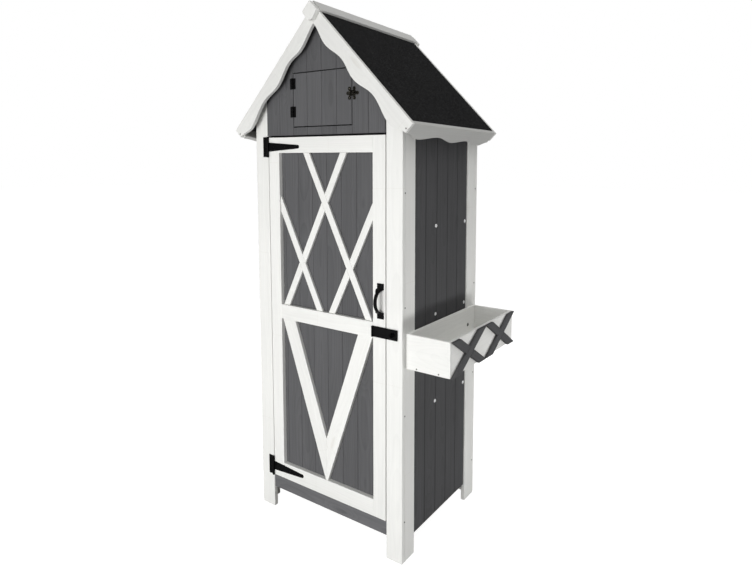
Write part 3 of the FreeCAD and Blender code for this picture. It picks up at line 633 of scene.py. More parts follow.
WHITE_PAINT = CoatedTimber(
    name="white_paint", slot=Slot.WHITE, colour=(0.80, 0.80, 0.775), line_tone=0.055, streak_tone=0.022,
    board_tone=0.015, cloud_tone=0.02, knot_tint=(0.62, 0.60, 0.54), knot_share=0.07, knot_cover=0.3,
    seam_cover=0.3, wear_tint=(0.66, 0.63, 0.56), wear=0.3, relief=0.16 * MM, roughness=0.46, shine=0.3,
)
GREY_PAINT = CoatedTimber(
    name="grey_paint", slot=Slot.GREY, colour=(0.107, 0.107, 0.111), line_tone=0.2, streak_tone=0.07,
    board_tone=0.05, cloud_tone=0.05, knot_tint=(0.066, 0.066, 0.069), knot_share=0.12, knot_cover=0.6,
    seam_cover=0.0, wear_tint=(0.16, 0.158, 0.155), wear=0.5, relief=0.22 * MM, roughness=0.6, shine=0.12,
)
# Darker copy of the white for the ridge cap, as painted shade.
RIDGE_SHADED_WHITE = WHITE_PAINT.lit_shaded_or_toned("white_paint_ridge_painted_shade", 0.8)
# Darker copy of the white for the fascias, as painted shade on boards that face down and away.
EAVE_SHADED_WHITE = WHITE_PAINT.lit_shaded_or_toned("white_paint_eaves_painted_shade", 0.68)
# Slightly darker copy of the white for the bargeboards, as painted shade of the dimmer light up high.
BARGE_SHADED_WHITE = WHITE_PAINT.lit_shaded_or_toned("white_paint_bargeboards_painted_shade", 0.94)
# Lighter copy of the white for the planter's inside, as painted light.
PLANTER_LIT_WHITE = WHITE_PAINT.lit_shaded_or_toned("white_paint_planter_painted_light", 1.12)
LOFT_GREY = GREY_PAINT.lit_shaded_or_toned("grey_paint_loft_door", 1.06)
# Darker copy of the grey, as painted shade, for the side walls and for pieces that sit in shade.
SHADED_GREY = GREY_PAINT.lit_shaded_or_toned("grey_paint_painted_shade", 0.76)
# Lighter copy of the grey for the plinth, as painted light low down.
PLINTH_LIT_GREY = GREY_PAINT.lit_shaded_or_toned("grey_paint_plinth_painted_light", 1.42)
BARE_PINE = BareTimber(
    name="bare_timber", slot=Slot.BARE, early=(0.70, 0.52, 0.32), late=(0.50, 0.31, 0.15),
    knot=(0.20, 0.10, 0.045),
)
ROOF_FELT = RoofingFelt(
    name="roofing_felt", slot=Slot.FELT, tar=(0.012, 0.012, 0.0125), grit=(0.022, 0.022, 0.0225),
    speck=(0.07, 0.07, 0.07), grain_scale=620.0, shine=0.02,
)
BLACK_COAT = CoatedMetal(
    name="black_hardware", slot=Slot.BLACK, colour=(0.0022, 0.0022, 0.0025), wear_tint=(0.012, 0.012, 0.012),
    wear=0.4, metal=0.0, roughness=0.48, peel=0.06 * MM, shine=0.08,
)
BLACK_HEADS = replace(BLACK_COAT, name="black_screw_heads", colour=(0.03, 0.03, 0.031), shine=0.4)
OLD_BRONZE = CoatedMetal(
    name="old_bronze", slot=Slot.BLACK, colour=(0.02, 0.019, 0.016), wear_tint=(0.4, 0.37, 0.31),
    wear=0.8, metal=1.0, roughness=0.42, peel=0.08 * MM, cloud_tone=0.5,
)
# Pale zinc heads, mostly non-metal with a high colour: partly the zinc's own pale colour, partly a painted
# reflection that keeps them bright.
ZINC_PAINTED_SHINE = CoatedMetal(
    name="steel_heads", slot=Slot.STEEL, colour=(0.82, 0.82, 0.82), wear_tint=(0.9, 0.9, 0.9), wear=0.4,
    metal=0.15, roughness=0.42, peel=0.02 * MM,
)
DULL_STEEL = CoatedMetal(
    name="dull_nails", slot=Slot.STEEL, colour=(0.16, 0.16, 0.155), wear_tint=(0.25, 0.25, 0.25), wear=0.4,
    metal=0.5, roughness=0.5, peel=0.02 * MM,
)


@dataclass
class Workshop:
    """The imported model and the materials, shared by every sub-assembly."""

    nodes: dict[str, bpy.types.Object]
    body_of: dict[str, str]
    effects: Effects
    materials: dict[str, bpy.types.Material] = field(default_factory=dict)

    def material(self, finish: Finish) -> bpy.types.Material:
        """Look up the material of a finish, which is made the first time that it is asked for.

        Args:
            finish: The finish.

        Returns:
            Its material.
        """
        if finish.name not in self.materials:
            self.materials[finish.name] = finish.material(self.effects)
        return self.materials[finish.name]

    def mesh_of(self, node: str) -> Mesh:
        """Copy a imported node's mesh with its loose triangles joined into whole faces.

        Args:
            node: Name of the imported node.

        Returns:
            The copy.
        """
        mesh = whole_solids(self.nodes[node].data)
        bmesh.ops.dissolve_limit(mesh, angle_limit=FLAT_ANGLE, verts=mesh.verts, edges=mesh.edges)
        return mesh

    def boxes_of(self, node: str, facing: Facing | None = None) -> list[Box]:
        """Measure each solid of a node, or the widest face that each solid turns one way.

        Args:
            node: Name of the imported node.
            facing: Direction that the faces look in, or none for the whole solids.

        Returns:
            Lowest and highest corner of one box for each solid.
        """
        mesh = self.mesh_of(node)
        boxes = []
        for verts in solids_of(mesh):
            if facing is not None:
                way = Vector(facing.value)
                faces = [face for vert in verts for face in vert.link_faces]
                turned = [face for face in faces if face.normal.dot(way) > SQUARE_ON]
                verts = max(turned, key=lambda face: face.calc_area()).verts
            places = [vert.co for vert in verts]
            boxes.append(tuple(Vector(pick(place[axis] for place in places) for axis in range(3))
                               for pick in (min, max)))
        mesh.free()
        return boxes

    def settle(self, mesh: bpy.types.Mesh, name: str, body: str, finish: Finish) -> bpy.types.Object:
        """Put a finished mesh in the scene on a body.

        Args:
            mesh: The mesh, in the cabinet's own frame.
            name: Name of the piece.
            body: Body that the piece moves with.
            finish: Finish whose material the piece gets.

        Returns:
            The new piece.
        """
        piece = bpy.data.objects.new(name, mesh)
        bpy.context.scene.collection.objects.link(piece)
        mesh.materials.clear()
        mesh.materials.append(self.material(finish))
        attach(piece, body)
        log.info("%s on %s: %d faces", name, body, len(mesh.polygons))
        return piece

    def stand_in(self, mesh: Mesh, node: str, kind: str, finish: Finish, ease: float,
                 segments: int = 2) -> None:
        """Let a worked copy of a node's mesh stand for the node, with its sharp edges eased.

        Args:
            mesh: The copy, which is used up.
            node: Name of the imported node.
            kind: What the piece is; its name ends with it.
            finish: Finish of the piece.
            ease: Width of the rounding.
            segments: Facets of the rounding.
        """
        name = f"{node}_{kind}"
        data = bpy.data.meshes.new(name)
        mesh.to_mesh(data)
        mesh.free()
        data.shade_smooth()
        piece = self.settle(data, name, self.body_of[node], finish)
        bevel = piece.modifiers.new("eased_edges", "BEVEL")
        bevel.width = ease
        bevel.segments = segments
        bevel.limit_method = "ANGLE"
        bevel.angle_limit = SHARP_ANGLE
        bevel.use_clamp_overlap = True
        piece.modifiers.new("flat_faces", "WEIGHTED_NORMAL").keep_sharp = True
        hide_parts(node)


def connected(items: Iterable[Any], beside: Callable[[Any], Iterable[Any]]) -> list[list[Any]]:
    """Sort items into groups that hang together.

    Args:
        items: The items.
        beside: Gives the items next to one item.

    Returns:
        The groups, each in the order in which its items were reached.
    """
    done = set()
    groups = []
    for start in items:
        if start in done:
            continue
        done.add(start)
        group = [start]
        for item in group:
            for other in beside(item):
                if other not in done:
                    done.add(other)
                    group.append(other)
        groups.append(group)
    return groups


def solids_of(mesh: Mesh) -> list[list[Vert]]:
    """Vertices of each separate solid of a mesh."""
    return connected(mesh.verts, lambda vert: [edge.other_vert(vert) for edge in vert.link_edges])


def partners(edge: tuple[Vector, Vector], around: list[tuple[int, Vector, Vector]]) -> list[tuple[int, int]]:
    """Pair the triangles that meet at an edge, each with the next one round the same solid.

    Args:
        edge: The two ends of the edge.
        around: Number, middle and normal of each triangle at the edge.

    Returns:
        Pairs of triangle numbers; where two solids touch there is one pair for each.
    """
    if len(around) == 2:
        return [(around[0][0], around[1][0])]
    axis = (edge[1] - edge[0]).normalized()
    zero = axis.orthogonal().normalized()
    quarter = axis.cross(zero)
    openers, closers = [], []
    for number, middle, normal in around:
        arm = middle - edge[0]
        arm = (arm - axis * arm.dot(axis)).normalized()
        angle = math.atan2(arm.dot(quarter), arm.dot(zero))
        kept = openers if axis.cross(arm).dot(normal) < 0 else closers
        kept.append((angle, number))
    pairs = []
    for angle, number in openers:
        gaps = [((other - angle - TOUCH_ANGLE) % math.tau, match) for other, match in closers]
        if gaps:
            pairs.append((number, min(gaps)[1]))
    return pairs


def neighbours(points: Sequence[Vector], triangles: Sequence[tuple[int, ...]]) -> list[list[int]]:
    """Find the triangles that each triangle shares an edge with, on the same solid.

    Args:
        points: Places of the corners.
        triangles: Corner numbers of each triangle.

    Returns:
        For each triangle, the numbers of those beside it.
    """
    around: dict[tuple[int, int], list[tuple[int, Vector, Vector]]] = {}
    for number, corners in enumerate(triangles):
        a, b, c = (points[corner] for corner in corners)
        normal = (b - a).cross(c - a)
        middle = (a + b + c) / 3
        for first, second in zip(corners, corners[1:] + corners[:1]):
            pair = (min(first, second), max(first, second))
            around.setdefault(pair, []).append((number, middle, normal))
    beside: list[list[int]] = [[] for _ in triangles]
    for (first, second), faces in around.items():
        for one, other in partners((points[first], points[second]), faces) if len(faces) > 1 else ():
            beside[one].append(other)
            beside[other].append(one)
    return beside


def whole_solids(source: bpy.types.Mesh) -> Mesh:
    """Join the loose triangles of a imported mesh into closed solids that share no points.

    Args:
        source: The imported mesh.

    Returns:
        A new mesh with one closed shell for each solid, also where two solids touch.
    """
    loose = bmesh.new()
    loose.from_mesh(source)
    same = bmesh.ops.find_doubles(loose, verts=loose.verts, dist=WELD)["targetmap"]
    points = [vert.co.copy() for vert in loose.verts]
    triangles = [tuple(same.get(vert, vert).index for vert in face.verts) for face in loose.faces]
    triangles = [corners for corners in triangles if len(set(corners)) == 3]
    loose.free()
    joined = bmesh.new()
    for shell in connected(range(len(triangles)), neighbours(points, triangles).__getitem__):
        copies: dict[int, Vert] = {}
        for number in shell:
            for point in triangles[number]:
                if point not in copies:
                    copies[point] = joined.verts.new(points[point])
            joined.faces.new([copies[point] for point in triangles[number]])
    joined.normal_update()
    return joined


def on_face(face: Box, facing: Facing, shares: Spots) -> list[tuple[Vector, Facing]]:
    """Mark points on an upright face.

    Args:
        face: Lowest and highest corner of the face.
        facing: Direction that the face looks in.
        shares: Share of the width and of the height at which each point lies.

    Returns:
        Each point with its direction.
    """
    low, high = face
    size = high - low
    return [(low + Vector((size.x * wide, size.y * wide, size.z * tall)), facing) for wide, tall in shares]


@dataclass
class Boards:
    """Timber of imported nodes: eased edges, and grain that follows each board."""

    nodes: Sequence[str]
    finish: Finish
    ease: float = 1.0 * MM
    along: Vector | None = None
    joint_shade: float = 0.0
    log_length: float = 5.0
    log_shift: float = 0.05
    heart_depth: tuple[float, float] = (0.015, 0.07)

    def build(self, shop: Workshop) -> None:
        """Make a piece for each node.

        Args:
            shop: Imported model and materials.
        """
        for node in self.nodes:
            mesh = shop.mesh_of(node)
            self._mark(mesh, random.Random(node))
            shop.stand_in(mesh, node, "timber", self.finish, self.ease)

    def _mark(self, mesh: Mesh, rng: random.Random) -> None:
        """Note on each vertex where it lies in its board, how far it is from the board's long edges for the
        painted groove shade, and the board's tone.

        Args:
            mesh: The boards.
            rng: Source of each board's place in the log and of its tone.
        """
        place = mesh.verts.layers.float_vector.new("board_place")
        rim = mesh.verts.layers.float_vector.new("board_rim")
        tone = mesh.verts.layers.float.new("board_tone")
        for verts in solids_of(mesh):
            along, across, deep = self._axes(verts)
            middle = sum((vert.co for vert in verts), Vector()) / len(verts)
            offset = Vector((rng.uniform(-self.log_length, self.log_length),
                             rng.uniform(-self.log_shift, self.log_shift), rng.uniform(*self.heart_depth)))
            board_tone = rng.random()
            sides = [vert.co.dot(across) for vert in verts]
            centre, half = (min(sides) + max(sides)) / 2, (max(sides) - min(sides)) / 2
            for vert, side in zip(verts, sides):
                arm = vert.co - middle
                vert[place] = Vector((arm.dot(along), arm.dot(across), arm.dot(deep))) + offset
                vert[rim] = Vector((side - centre, half, self.joint_shade))
                vert[tone] = board_tone

    def _axes(self, verts: list[Vert]) -> tuple[Vector, Vector, Vector]:
        """Find the directions along, across and through a board.

        Args:
            verts: Vertices of the board.

        Returns:
            Three unit vectors: along the grain, which is the longest edge unless a direction is given,
            across it, and square to both.
        """
        edges = [edge for vert in verts for edge in vert.link_edges]
        faces = [face for vert in verts for face in vert.link_faces]
        longest = max(edges, key=lambda edge: edge.calc_length())
        along = (longest.verts[1].co - longest.verts[0].co).normalized()
        if self.along is not None:
            along = self.along.normalized()
        widest = max(faces, key=lambda face: face.calc_area())
        across = widest.normal.cross(along).normalized()
        return along, across, along.cross(across).normalized()


@dataclass
class Fitting:
    """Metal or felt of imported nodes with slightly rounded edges."""

    nodes: Sequence[str]
    finish: Finish
    ease: float = 0.35 * MM
    segments: int = 2

    def build(self, shop: Workshop) -> None:
        """Make a piece for each node.

        Args:
            shop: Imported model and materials.
        """
        for node in self.nodes:
            mesh = shop.mesh_of(node)
            for verts in solids_of(mesh):
                bmesh.ops.remove_doubles(mesh, verts=verts, dist=SLIVER)
            shop.stand_in(mesh, node, "fitting", self.finish, self.ease, self.segments)


@dataclass(frozen=True)
class ScrewHeads:
    """Domed screw heads with a cross recess, placed by a geometry tree."""

    radius: float = 3.2 * MM
    height: float = 1.5 * MM
    recess_width: float = 0.9 * MM
    recess_depth: float = 1.0 * MM
    seed: int = 7
    tree_name: str = "screw_heads"
    facets: int = 24
    rings: int = 5
    tip_share: float = 0.15
    foot_share: float = 0.01
    dome_power: float = 3.2
    dome_fall: float = 0.75
    recess_reach: float = 1.15
    clearance: float = 0.05 * MM

    def on_faces(self, shop: Workshop, node: str, finish: Finish, spots: Spots, name: str = "",
                 facing: Facing = Facing.FRONT) -> None:
        """Set heads on a face of each solid of a node, at shares of the face's width and height."""
        heads = [head for face in shop.boxes_of(node, facing) for head in on_face(face, facing, spots)]
        self.place(shop, name or node + "_screws", shop.body_of[node], finish, heads)

    def place(self, shop: Workshop, name: str, body: str, finish: Finish,
              heads: Sequence[tuple[Vector, Facing]]) -> bpy.types.Object:
        """Set a head on each point and keep the result as one plain piece.

        Args:
            shop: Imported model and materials.
            name: Name of the piece.
            body: Body that the screws move with.
            finish: Finish of the heads.
            heads: Point on the surface and direction of each head.

        Returns:
            The piece with all its heads.
        """
        points = bpy.data.meshes.new(name + "_points")
        points.from_pydata([tuple(point) for point, _ in heads], [], [])
        facing = points.attributes.new("facing", "FLOAT_VECTOR", "POINT")
        for index, (_, direction) in enumerate(heads):
            facing.data[index].vector = direction.value
        holder = bpy.data.objects.new(name + "_holder", points)
        bpy.context.scene.collection.objects.link(holder)
        sizes = {"Head Radius": self.radius, "Head Height": self.height, "Recess Width": self.recess_width,
                 "Recess Depth": self.recess_depth}
        tree = bpy.data.node_groups.get(self.tree_name) or self._tree(sizes)
        modifier = holder.modifiers.new("heads", "NODES")
        modifier.node_group = tree
        values = sizes | {"Seed": self.seed, "Finish": shop.material(finish)}
        for item in tree.interface.items_tree:
            if item.in_out == "INPUT" and item.name in values:
                modifier[item.identifier] = values[item.name]
        graph = bpy.context.evaluated_depsgraph_get()
        made = bpy.data.meshes.new_from_object(holder.evaluated_get(graph))
        holder.modifiers.remove(modifier)
        bpy.data.objects.remove(holder)
        return shop.settle(made, name, body, finish)

    def _tree(self, sizes: dict[str, float]) -> bpy.types.NodeTree:
        """Make the tree that shapes one head and sets it on every point.

        Args:
            sizes: Default size of a head by the name of the tree's input.

        Returns:
            The geometry tree.
        """
        graph, given, result = new_group(
            self.tree_name,
            [("Points", "Geometry", None), *((label, "Float", size) for label, size in sizes.items()),
             ("Seed", "Int", 0), ("Finish", "Material", None)],
            [("Heads", "Geometry")], "GeometryNodeTree",
        )
        facing = graph.out("GeometryNodeInputNamedAttribute", {"Name": "facing"}, "Attribute",
                           data_type="FLOAT_VECTOR")
        aim = graph.out("FunctionNodeAlignRotationToVector", {"Vector": facing}, axis="Z")
        spin = graph.out("FunctionNodeRandomValue", {"Max": 2 * math.pi, "Seed": given["Seed"]}, 1,
                         data_type="FLOAT")
        turn = graph.out("FunctionNodeAxisAngleToRotation", {"Axis": (0.0, 0.0, 1.0), "Angle": spin})
        rotation = graph.out("FunctionNodeRotateRotation", {"Rotation": aim, "Rotate By": turn},
                             rotation_space="LOCAL")
        copies = graph.out("GeometryNodeInstanceOnPoints", {
            "Points": given["Points"], "Instance": self._head(graph, given), "Rotation": rotation})
        real = graph.out("GeometryNodeRealizeInstances", {"Geometry": copies})
        coated = graph.out("GeometryNodeSetMaterial", {"Geometry": real, "Material": given["Finish"]})
        graph.fill(result, {"Heads": coated})
        return graph.tree

    def _head(self, graph: Graph, given: Sockets) -> Socket:
        """Shape one head: a domed disc with a cross cut into it.

        Args:
            graph: Graph of the geometry tree.
            given: Inputs of the tree.

        Returns:
            The head's mesh.
        """
        radius, height, width = given["Head Radius"], given["Head Height"], given["Recess Width"]
        blank = graph.out("GeometryNodeMeshCone", {
            "Vertices": self.facets, "Side Segments": self.rings, "Fill Segments": 1, "Depth": height,
            "Radius Top": graph.times(radius, self.tip_share), "Radius Bottom": radius,
        }, "Mesh", fill_type="NGON")
        position = graph.out("GeometryNodeInputPosition")
        apart = graph.split(position)
        flat = graph.vector("LENGTH", "Value", graph.stretched(position, (1.0, 1.0, 0.0)))
        fall = graph.math("POWER", graph.math("DIVIDE", flat, radius), self.dome_power)
        crown = graph.times(height, graph.minus(1.0, graph.times(fall, self.dome_fall)))
        on_top = graph.math("GREATER_THAN", apart["Z"], graph.times(height, self.foot_share))
        target = graph.join(apart["X"], apart["Y"], graph.times(crown, on_top))
        domed = graph.out("GeometryNodeSetPosition", {"Geometry": blank, "Position": target})
        # A bar is as tall as the head, so its middle lies half of that above the floor of the recess.
        reach = graph.times(radius, self.recess_reach)
        clear = graph.plus(graph.times(height, 1.5), self.clearance)
        lift = graph.join(0.0, 0.0, graph.minus(clear, given["Recess Depth"]))
        cutters = graph.node("GeometryNodeJoinGeometry")
        for size in (graph.join(reach, width, height), graph.join(width, reach, height)):
            cube = graph.out("GeometryNodeMeshCube", {"Size": size}, "Mesh")
            bar = graph.out("GeometryNodeTransform", {"Geometry": cube, "Translation": lift})
            graph.fill(cutters, {0: bar})
        return graph.out("GeometryNodeMeshBoolean", {"Mesh 1": domed, "Mesh 2": cutters.outputs[0]}, "Mesh",
                         operation="DIFFERENCE")


@dataclass
class Carcass:
    """Posts, walls, gables, plinth and floor."""

    post_ease: float = 1.8 * MM
    board_ease: float = 0.5 * MM
    # Strength of the painted shade in the grooves of the side boards and of the end boards.
    side_groove_shade: float = 0.45
    end_groove_shade: float = 0.1
    posts: tuple[str, ...] = ("left_front_post", "right_front_post", "left_rear_post", "right_rear_post")
    sides: tuple[str, ...] = ("left_wall_boards", "right_wall_boards")
    ends: tuple[str, ...] = ("rear_wall_boards", "front_gable_boards")
    painted: tuple[str, ...] = ("corner_battens", "floor_bearers", "loft_floor")
    bare: tuple[str, ...] = ("floor_boards", "door_stop", "rafters")

    def build(self, shop: Workshop) -> None:
        """Dress the posts, the boards of the walls and what is inside.

        Args:
            shop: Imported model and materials.
        """
        Boards(self.posts, WHITE_PAINT, self.post_ease).build(shop)
        Boards(self.sides, SHADED_GREY, self.board_ease, UPRIGHT, self.side_groove_shade).build(shop)
        Boards(self.ends, GREY_PAINT, self.board_ease, UPRIGHT, self.end_groove_shade).build(shop)
        Boards(["plinth_board"], PLINTH_LIT_GREY).build(shop)
        # The battens, bearers and loft floor get the darker grey as painted shade where they sit in shade.
        Boards(self.painted, SHADED_GREY).build(shop)
        Boards(self.bare, BARE_PINE).build(shop)


@dataclass
class Shelving:
    """Cleats and slatted shelves, with the screws that hold the cleats from outside."""

    timber: tuple[str, ...] = ("lower_shelf", "middle_shelf", "upper_shelf", "shelf_cleats")
    screws: ScrewHeads = ScrewHeads(6.2 * MM, 2.0 * MM, recess_width=1.2 * MM)

    def build(self, shop: Workshop) -> None:
        """Dress the shelves and turn the plain heads on the walls into screws.

        Args:
            shop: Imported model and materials.
        """
        Boards(self.timber, BARE_PINE).build(shop)
        centre = (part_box("lower_shelf")[0].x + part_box("lower_shelf")[1].x) / 2
        heads = []
        for low, high in shop.boxes_of("side_screws"):
            middle = (low + high) / 2
            facing = Facing.RIGHT if middle.x > centre else Facing.LEFT
            inner = low.x if facing is Facing.RIGHT else high.x
            heads.append((Vector((inner, middle.y, middle.z)), facing))
        piece = self.screws.place(shop, "side_screw_heads", "cabinet", ZINC_PAINTED_SHINE, heads)
        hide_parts("side_screws")


@dataclass
class Roof:
    """Roof boards, felt, bargeboards, fascias and ridge."""

    deck_ease: float = 0.5 * MM
    felt_ease: float = 0.4 * MM
    trim_ease: float = 1.4 * MM
    deck: tuple[str, ...] = ("left_roof_boards", "right_roof_boards")
    bargeboards: tuple[str, ...] = ("left_front_bargeboard", "right_front_bargeboard", "left_rear_bargeboard",
                                    "right_rear_bargeboard")
    fascias: tuple[str, ...] = ("left_eave_fascia", "right_eave_fascia")

    def build(self, shop: Workshop) -> None:
        """Dress the roof.

        Args:
            shop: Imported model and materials.
        """
        # The deck's underside at the eaves gets the darker grey as painted shade.
        Boards(self.deck, SHADED_GREY, self.deck_ease, RIDGE_LINE).build(shop)
        Fitting(["roof_felt"], ROOF_FELT, self.felt_ease).build(shop)
        # The bargeboards, fascias and ridge cap get darker copies of the white as painted shade.
        Boards(self.bargeboards, BARGE_SHADED_WHITE, self.trim_ease).build(shop)
        Boards(self.fascias, EAVE_SHADED_WHITE, self.trim_ease).build(shop)
        Boards(["ridge_cap"], RIDGE_SHADED_WHITE, self.trim_ease).build(shop)
        Boards(["ridge_end_plates"], WHITE_PAINT, self.trim_ease, UPRIGHT).build(shop)


@dataclass
class Door:
    """Framed door with its lattice, V brace and black hardware."""

    frame_ease: float = 1.0 * MM
    strip_ease: float = 1.8 * MM
    board_ease: float = 0.5 * MM
    # Strength of the painted shade in the grooves between the door's boards.
    door_groove_shade: float = 0.1
    handle_ease: float = 0.8 * MM
    frame: tuple[str, ...] = ("door_left_stile", "door_right_stile", "door_top_rail", "door_mid_rail",
                              "door_bottom_rail", "door_v_brace")
    hardware: tuple[str, ...] = ("hinge_plates", "hinge_straps", "hinge_pins", "hasp_base", "hasp_strap",
                                 "staple_plate", "turn_staple")
    screws: ScrewHeads = ScrewHeads()
    plate_spots: Spots = ((0.36, 0.12), (0.64, 0.5), (0.36, 0.88))
    strap_spots: Spots = ((0.17, 0.5), (0.55, 0.5), (0.89, 0.5))
    staple_spots: Spots = ((0.17, 0.17), (0.83, 0.17), (0.17, 0.83), (0.83, 0.83))
    hasp_spots: Spots = ((0.62, 0.22), (0.62, 0.78))
    handle_spots: tuple[float, float] = (0.2, 0.8)
    handle_screw_inset: float = 6.0 * MM

    def build(self, shop: Workshop) -> None:
        """Dress the door and put the screws in its hardware.

        Args:
            shop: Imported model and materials.
        """
        Boards(self.frame, WHITE_PAINT, self.frame_ease).build(shop)
        Boards(["door_lattice"], WHITE_PAINT, self.strip_ease).build(shop)
        Boards(["door_boards"], GREY_PAINT, self.board_ease, UPRIGHT, self.door_groove_shade).build(shop)
        Fitting(self.hardware, BLACK_COAT).build(shop)
        Fitting(["door_handle"], BLACK_COAT, self.handle_ease, segments=3).build(shop)
        for node, spots in (("hinge_plates", self.plate_spots), ("hinge_straps", self.strap_spots),
                            ("staple_plate", self.staple_spots), ("hasp_base", self.hasp_spots)):
            self.screws.on_faces(shop, node, BLACK_HEADS, spots)
        self._handle_screws(shop)

    def _handle_screws(self, shop: Workshop) -> None:
        """Put two screws in each foot of the handle.

        Args:
            shop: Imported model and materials.
        """
        foot, = shop.boxes_of("door_handle", Facing.FRONT)
        low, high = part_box("door_handle")
        heads = []
        for share in self.handle_spots:
            x = low.x + share * (high.x - low.x)
            for z in (low.z + self.handle_screw_inset, high.z - self.handle_screw_inset):
                heads.append((Vector((x, foot[0].y, z)), Facing.FRONT))
        self.screws.place(shop, "door_handle_screws", "door", BLACK_HEADS, heads)


@dataclass
class LoftDoor:
    """Small door in the gable with butt hinges and an ornamental latch."""

    board_ease: float = 0.5 * MM
    # Strength of the painted shade in the grooves between the small door's boards.
    door_groove_shade: float = 0.1
    fitting_ease: float = 0.25 * MM
    screws: ScrewHeads = ScrewHeads(2.0 * MM, 0.8 * MM, recess_width=0.55 * MM, recess_depth=0.5 * MM)
    leaf_spots: Spots = ((0.5, 0.14), (0.5, 0.86))
    plate_spots: Spots = ((0.69, 0.15), (0.33, 0.5), (0.69, 0.85))
    keeper_spots: Spots = ((0.245, 0.15), (0.755, 0.5), (0.245, 0.85))

    def build(self, shop: Workshop) -> None:
        """Dress the small door, its hinges and its latch.

        Args:
            shop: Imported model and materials.
        """
        Boards(["loft_door_boards"], LOFT_GREY, self.board_ease, UPRIGHT, self.door_groove_shade).build(shop)
        # The ledges behind the gaps get the darker grey as painted shade.
        Boards(["loft_door_ledges"], SHADED_GREY).build(shop)
        for node, finish, spots in (("loft_hinge_leaves", BLACK_COAT, self.leaf_spots),
                                    ("loft_door_hinge_leaves", BLACK_COAT, self.leaf_spots),
                                    ("loft_latch_plate", OLD_BRONZE, self.plate_spots),
                                    ("loft_latch_keeper", OLD_BRONZE, self.keeper_spots)):
            Fitting([node], finish, self.fitting_ease).build(shop)
            self.screws.on_faces(shop, node, finish, spots)
        Fitting(["loft_latch_strap"], OLD_BRONZE, self.fitting_ease).build(shop)


@dataclass
class Planter:
    """Planter box on the right side, and the small nails of the posts and of its end boards."""

    board_ease: float = 1.2 * MM
    strip_ease: float = 2.2 * MM
    nail_ease: float = 0.15 * MM
    outside: tuple[str, ...] = ("planter_outer_board", "planter_end_boards")
    inside: tuple[str, ...] = ("planter_back_board", "planter_floor")
    screws: ScrewHeads = ScrewHeads(6.5 * MM, 2.5 * MM)
    back_spots: Spots = ((0.12, 0.45), (0.88, 0.45))

    def build(self, shop: Workshop) -> None:
        """Dress the planter and the nails.

        Args:
            shop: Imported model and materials.
        """
        Boards(self.outside, WHITE_PAINT, self.board_ease).build(shop)
        # The inside boards get the lighter white as painted light.
        Boards(self.inside, PLANTER_LIT_WHITE, self.board_ease).build(shop)
        # The strips face away from the main lamps and get the darker grey as painted shade.
        Boards(["planter_lattice"], SHADED_GREY, self.strip_ease).build(shop)
        Fitting(["nail_heads"], DULL_STEEL, self.nail_ease).build(shop)
        self.screws.on_faces(shop, "planter_back_board", DULL_STEEL, self.back_spots, "planter_back_screws",
                             Facing.RIGHT)


@dataclass(frozen=True)
class Lamp:
    """Wide soft lamp that looks at a point."""

    name: str
    place: tuple[float, float, float]
    target: tuple[float, float, float]
    size: tuple[float, float]
    power: float

    def build(self) -> None:
        """Put the lamp in the scene, out of the camera's sight."""
        data = bpy.data.lights.new(self.name, "AREA")
        data.shape = "RECTANGLE"
        data.size, data.size_y = self.size
        data.energy = self.power
        lamp = bpy.data.objects.new(self.name, data)
        lamp.location = self.place
        away = Vector(self.place) - Vector(self.target)
        lamp.rotation_euler = away.to_track_quat("Z", "Y").to_euler()
        lamp.visible_camera = False
        bpy.context.scene.collection.objects.link(lamp)


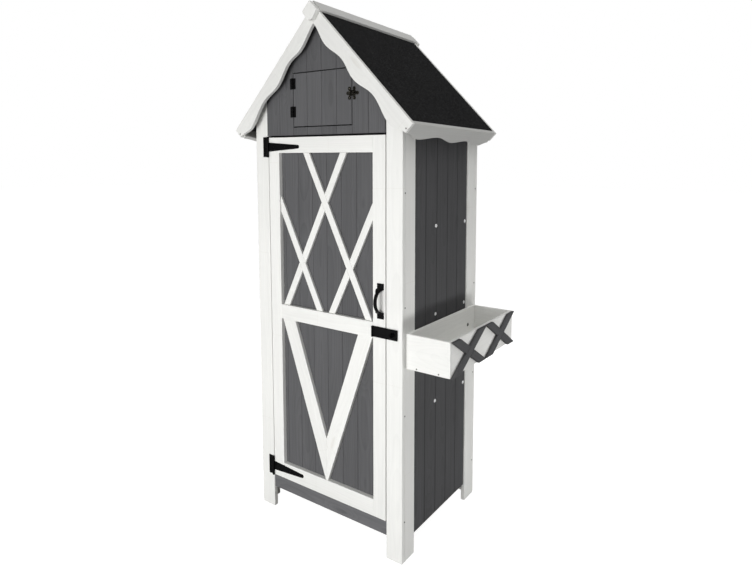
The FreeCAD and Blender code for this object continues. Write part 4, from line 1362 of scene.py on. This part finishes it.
@dataclass
class Studio:
    """Pale floor, white surround, soft lamps and the camera."""

    focal_px: float = 553.4
    centre_px: tuple[float, float] = (441.3, 214.1)
    azimuth: float = 31.571
    pitch: float = 4.995
    roll: float = 0.479
    place: tuple[float, float, float] = (1.24012, -1.59136, 1.27375)
    sensor: float = 36.0
    floor_size: float = 60.0
    floor_tone: float = 0.35
    floor_swing: float = 0.01
    floor_cloud: float = 1.5
    floor_rough: float = 0.7
    floor_shine: float = 0.2
    floor_lift: float = 0.92
    surround: float = 0.25
    lamps: tuple[Lamp, ...] = (
        Lamp("low_front_lamp", (0.1, -2.9, 0.5), (0.0, 0.0, 0.6), (2.0, 0.9), 49.0),
        Lamp("front_lamp", (0.2, -3.0, 1.1), (0.0, 0.0, 0.9), (1.2, 1.2), 18.0),
        Lamp("high_left_lamp", (-0.7, -2.6, 2.3), (0.0, 0.0, 0.8), (1.4, 1.1), 6.0),
        Lamp("high_right_lamp", (1.8, -2.4, 2.2), (0.0, 0.0, 0.9), (1.2, 1.2), 4.5),
        Lamp("overhead_lamp", (1.3, 0.2, 3.2), (0.3, 0.0, 0.7), (1.2, 1.2), 20.0),
        Lamp("low_side_lamp", (1.8, 0.5, 0.3), (0.4, 0.0, 0.4), (1.2, 0.2), 12.0),
        Lamp("rear_lamp", (-1.9, 2.1, 1.5), (0.0, 0.0, 0.8), (1.6, 1.6), 45.0),
    )

    def build(self) -> None:
        """Make the floor, the light and the camera."""
        self._floor()
        self._surround()
        for lamp in self.lamps:
            lamp.build()
        self._camera()

    def _floor(self) -> None:
        """Lay a large pale floor that glows like a light table, so that it is as white as the surround."""
        half = self.floor_size / 2
        mesh = bpy.data.meshes.new("floor")
        mesh.from_pydata([(-half, -half, 0), (half, -half, 0), (half, half, 0), (-half, half, 0)], [],
                         [(0, 1, 2, 3)])
        floor = bpy.data.objects.new("floor", mesh)
        bpy.context.scene.collection.objects.link(floor)
        material, graph, shader = start_material("pale_floor")
        cloud = graph.noise(graph.out("ShaderNodeTexCoord", None, "Object"), self.floor_cloud)
        level = graph.remap(cloud, *NOISE_RANGE, self.floor_tone - self.floor_swing, self.floor_tone)
        seen = graph.out("ShaderNodeLightPath", None, "Is Camera Ray")
        graph.fill(shader, {"Base Color": graph.join(level, level, level), "Roughness": self.floor_rough,
                            "Specular IOR Level": self.floor_shine, "Emission Color": WHITE_LIGHT,
                            "Emission Strength": graph.times(seen, self.floor_lift)})
        mesh.materials.append(material)

    def _surround(self) -> None:
        """Make the world light softly and look white behind the cabinet."""
        world = bpy.data.worlds.new("surround")
        bpy.context.scene.world = world
        world.use_nodes = True
        world.node_tree.nodes.clear()
        graph = Graph(world.node_tree)
        path = graph.out("ShaderNodeLightPath", None, "Is Camera Ray")
        soft, seen = (graph.out("ShaderNodeBackground", {"Color": WHITE_LIGHT, "Strength": strength})
                      for strength in (self.surround, 1.0))
        both = graph.out("ShaderNodeMixShader", {0: path, 1: soft, 2: seen})
        graph.node("ShaderNodeOutputWorld", {"Surface": both})

    def _camera(self) -> None:
        """Set the camera at the photograph's place, with the same view angle and framing."""
        azimuth, pitch, roll = (math.radians(angle) for angle in (self.azimuth, self.pitch, self.roll))
        right = Vector((math.cos(azimuth), math.sin(azimuth), 0))
        back = Vector((math.sin(azimuth) * math.cos(pitch), -math.cos(azimuth) * math.cos(pitch),
                       math.sin(pitch)))
        up = back.cross(right)
        turned_right = right * math.cos(roll) + up * math.sin(roll)
        turned_up = up * math.cos(roll) - right * math.sin(roll)
        data = bpy.data.cameras.new("camera")
        data.sensor_width = self.sensor
        data.lens = self.focal_px * self.sensor / IMAGE_WIDTH
        data.shift_x = (IMAGE_WIDTH / 2 - self.centre_px[0]) / IMAGE_WIDTH
        data.shift_y = (self.centre_px[1] - IMAGE_HEIGHT / 2) / IMAGE_WIDTH
        camera = bpy.data.objects.new("camera", data)
        basis = Matrix((turned_right, turned_up, back)).transposed()
        camera.matrix_world = Matrix.Translation(Vector(self.place)) @ basis.to_4x4()
        bpy.context.scene.collection.objects.link(camera)
        bpy.context.scene.camera = camera


def main() -> None:
    """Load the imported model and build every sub-assembly round it."""
    logging.basicConfig(level=logging.INFO, format="%(name)s: %(message)s")
    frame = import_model()
    bodies = frame["record"]["behaviour"]["bodies"]
    body_of = {node: body for body, nodes in bodies.items() for node in nodes}
    shop = Workshop(frame["nodes"], body_of, Effects())
    for assembly in (Carcass(), Shelving(), Roof(), Door(), LoftDoor(), Planter()):
        log.info("building %s", type(assembly).__name__)
        assembly.build(shop)
    bpy.context.scene.view_settings.view_transform = "Standard"
    Studio().build()


if __name__ == "__main__":
    main()
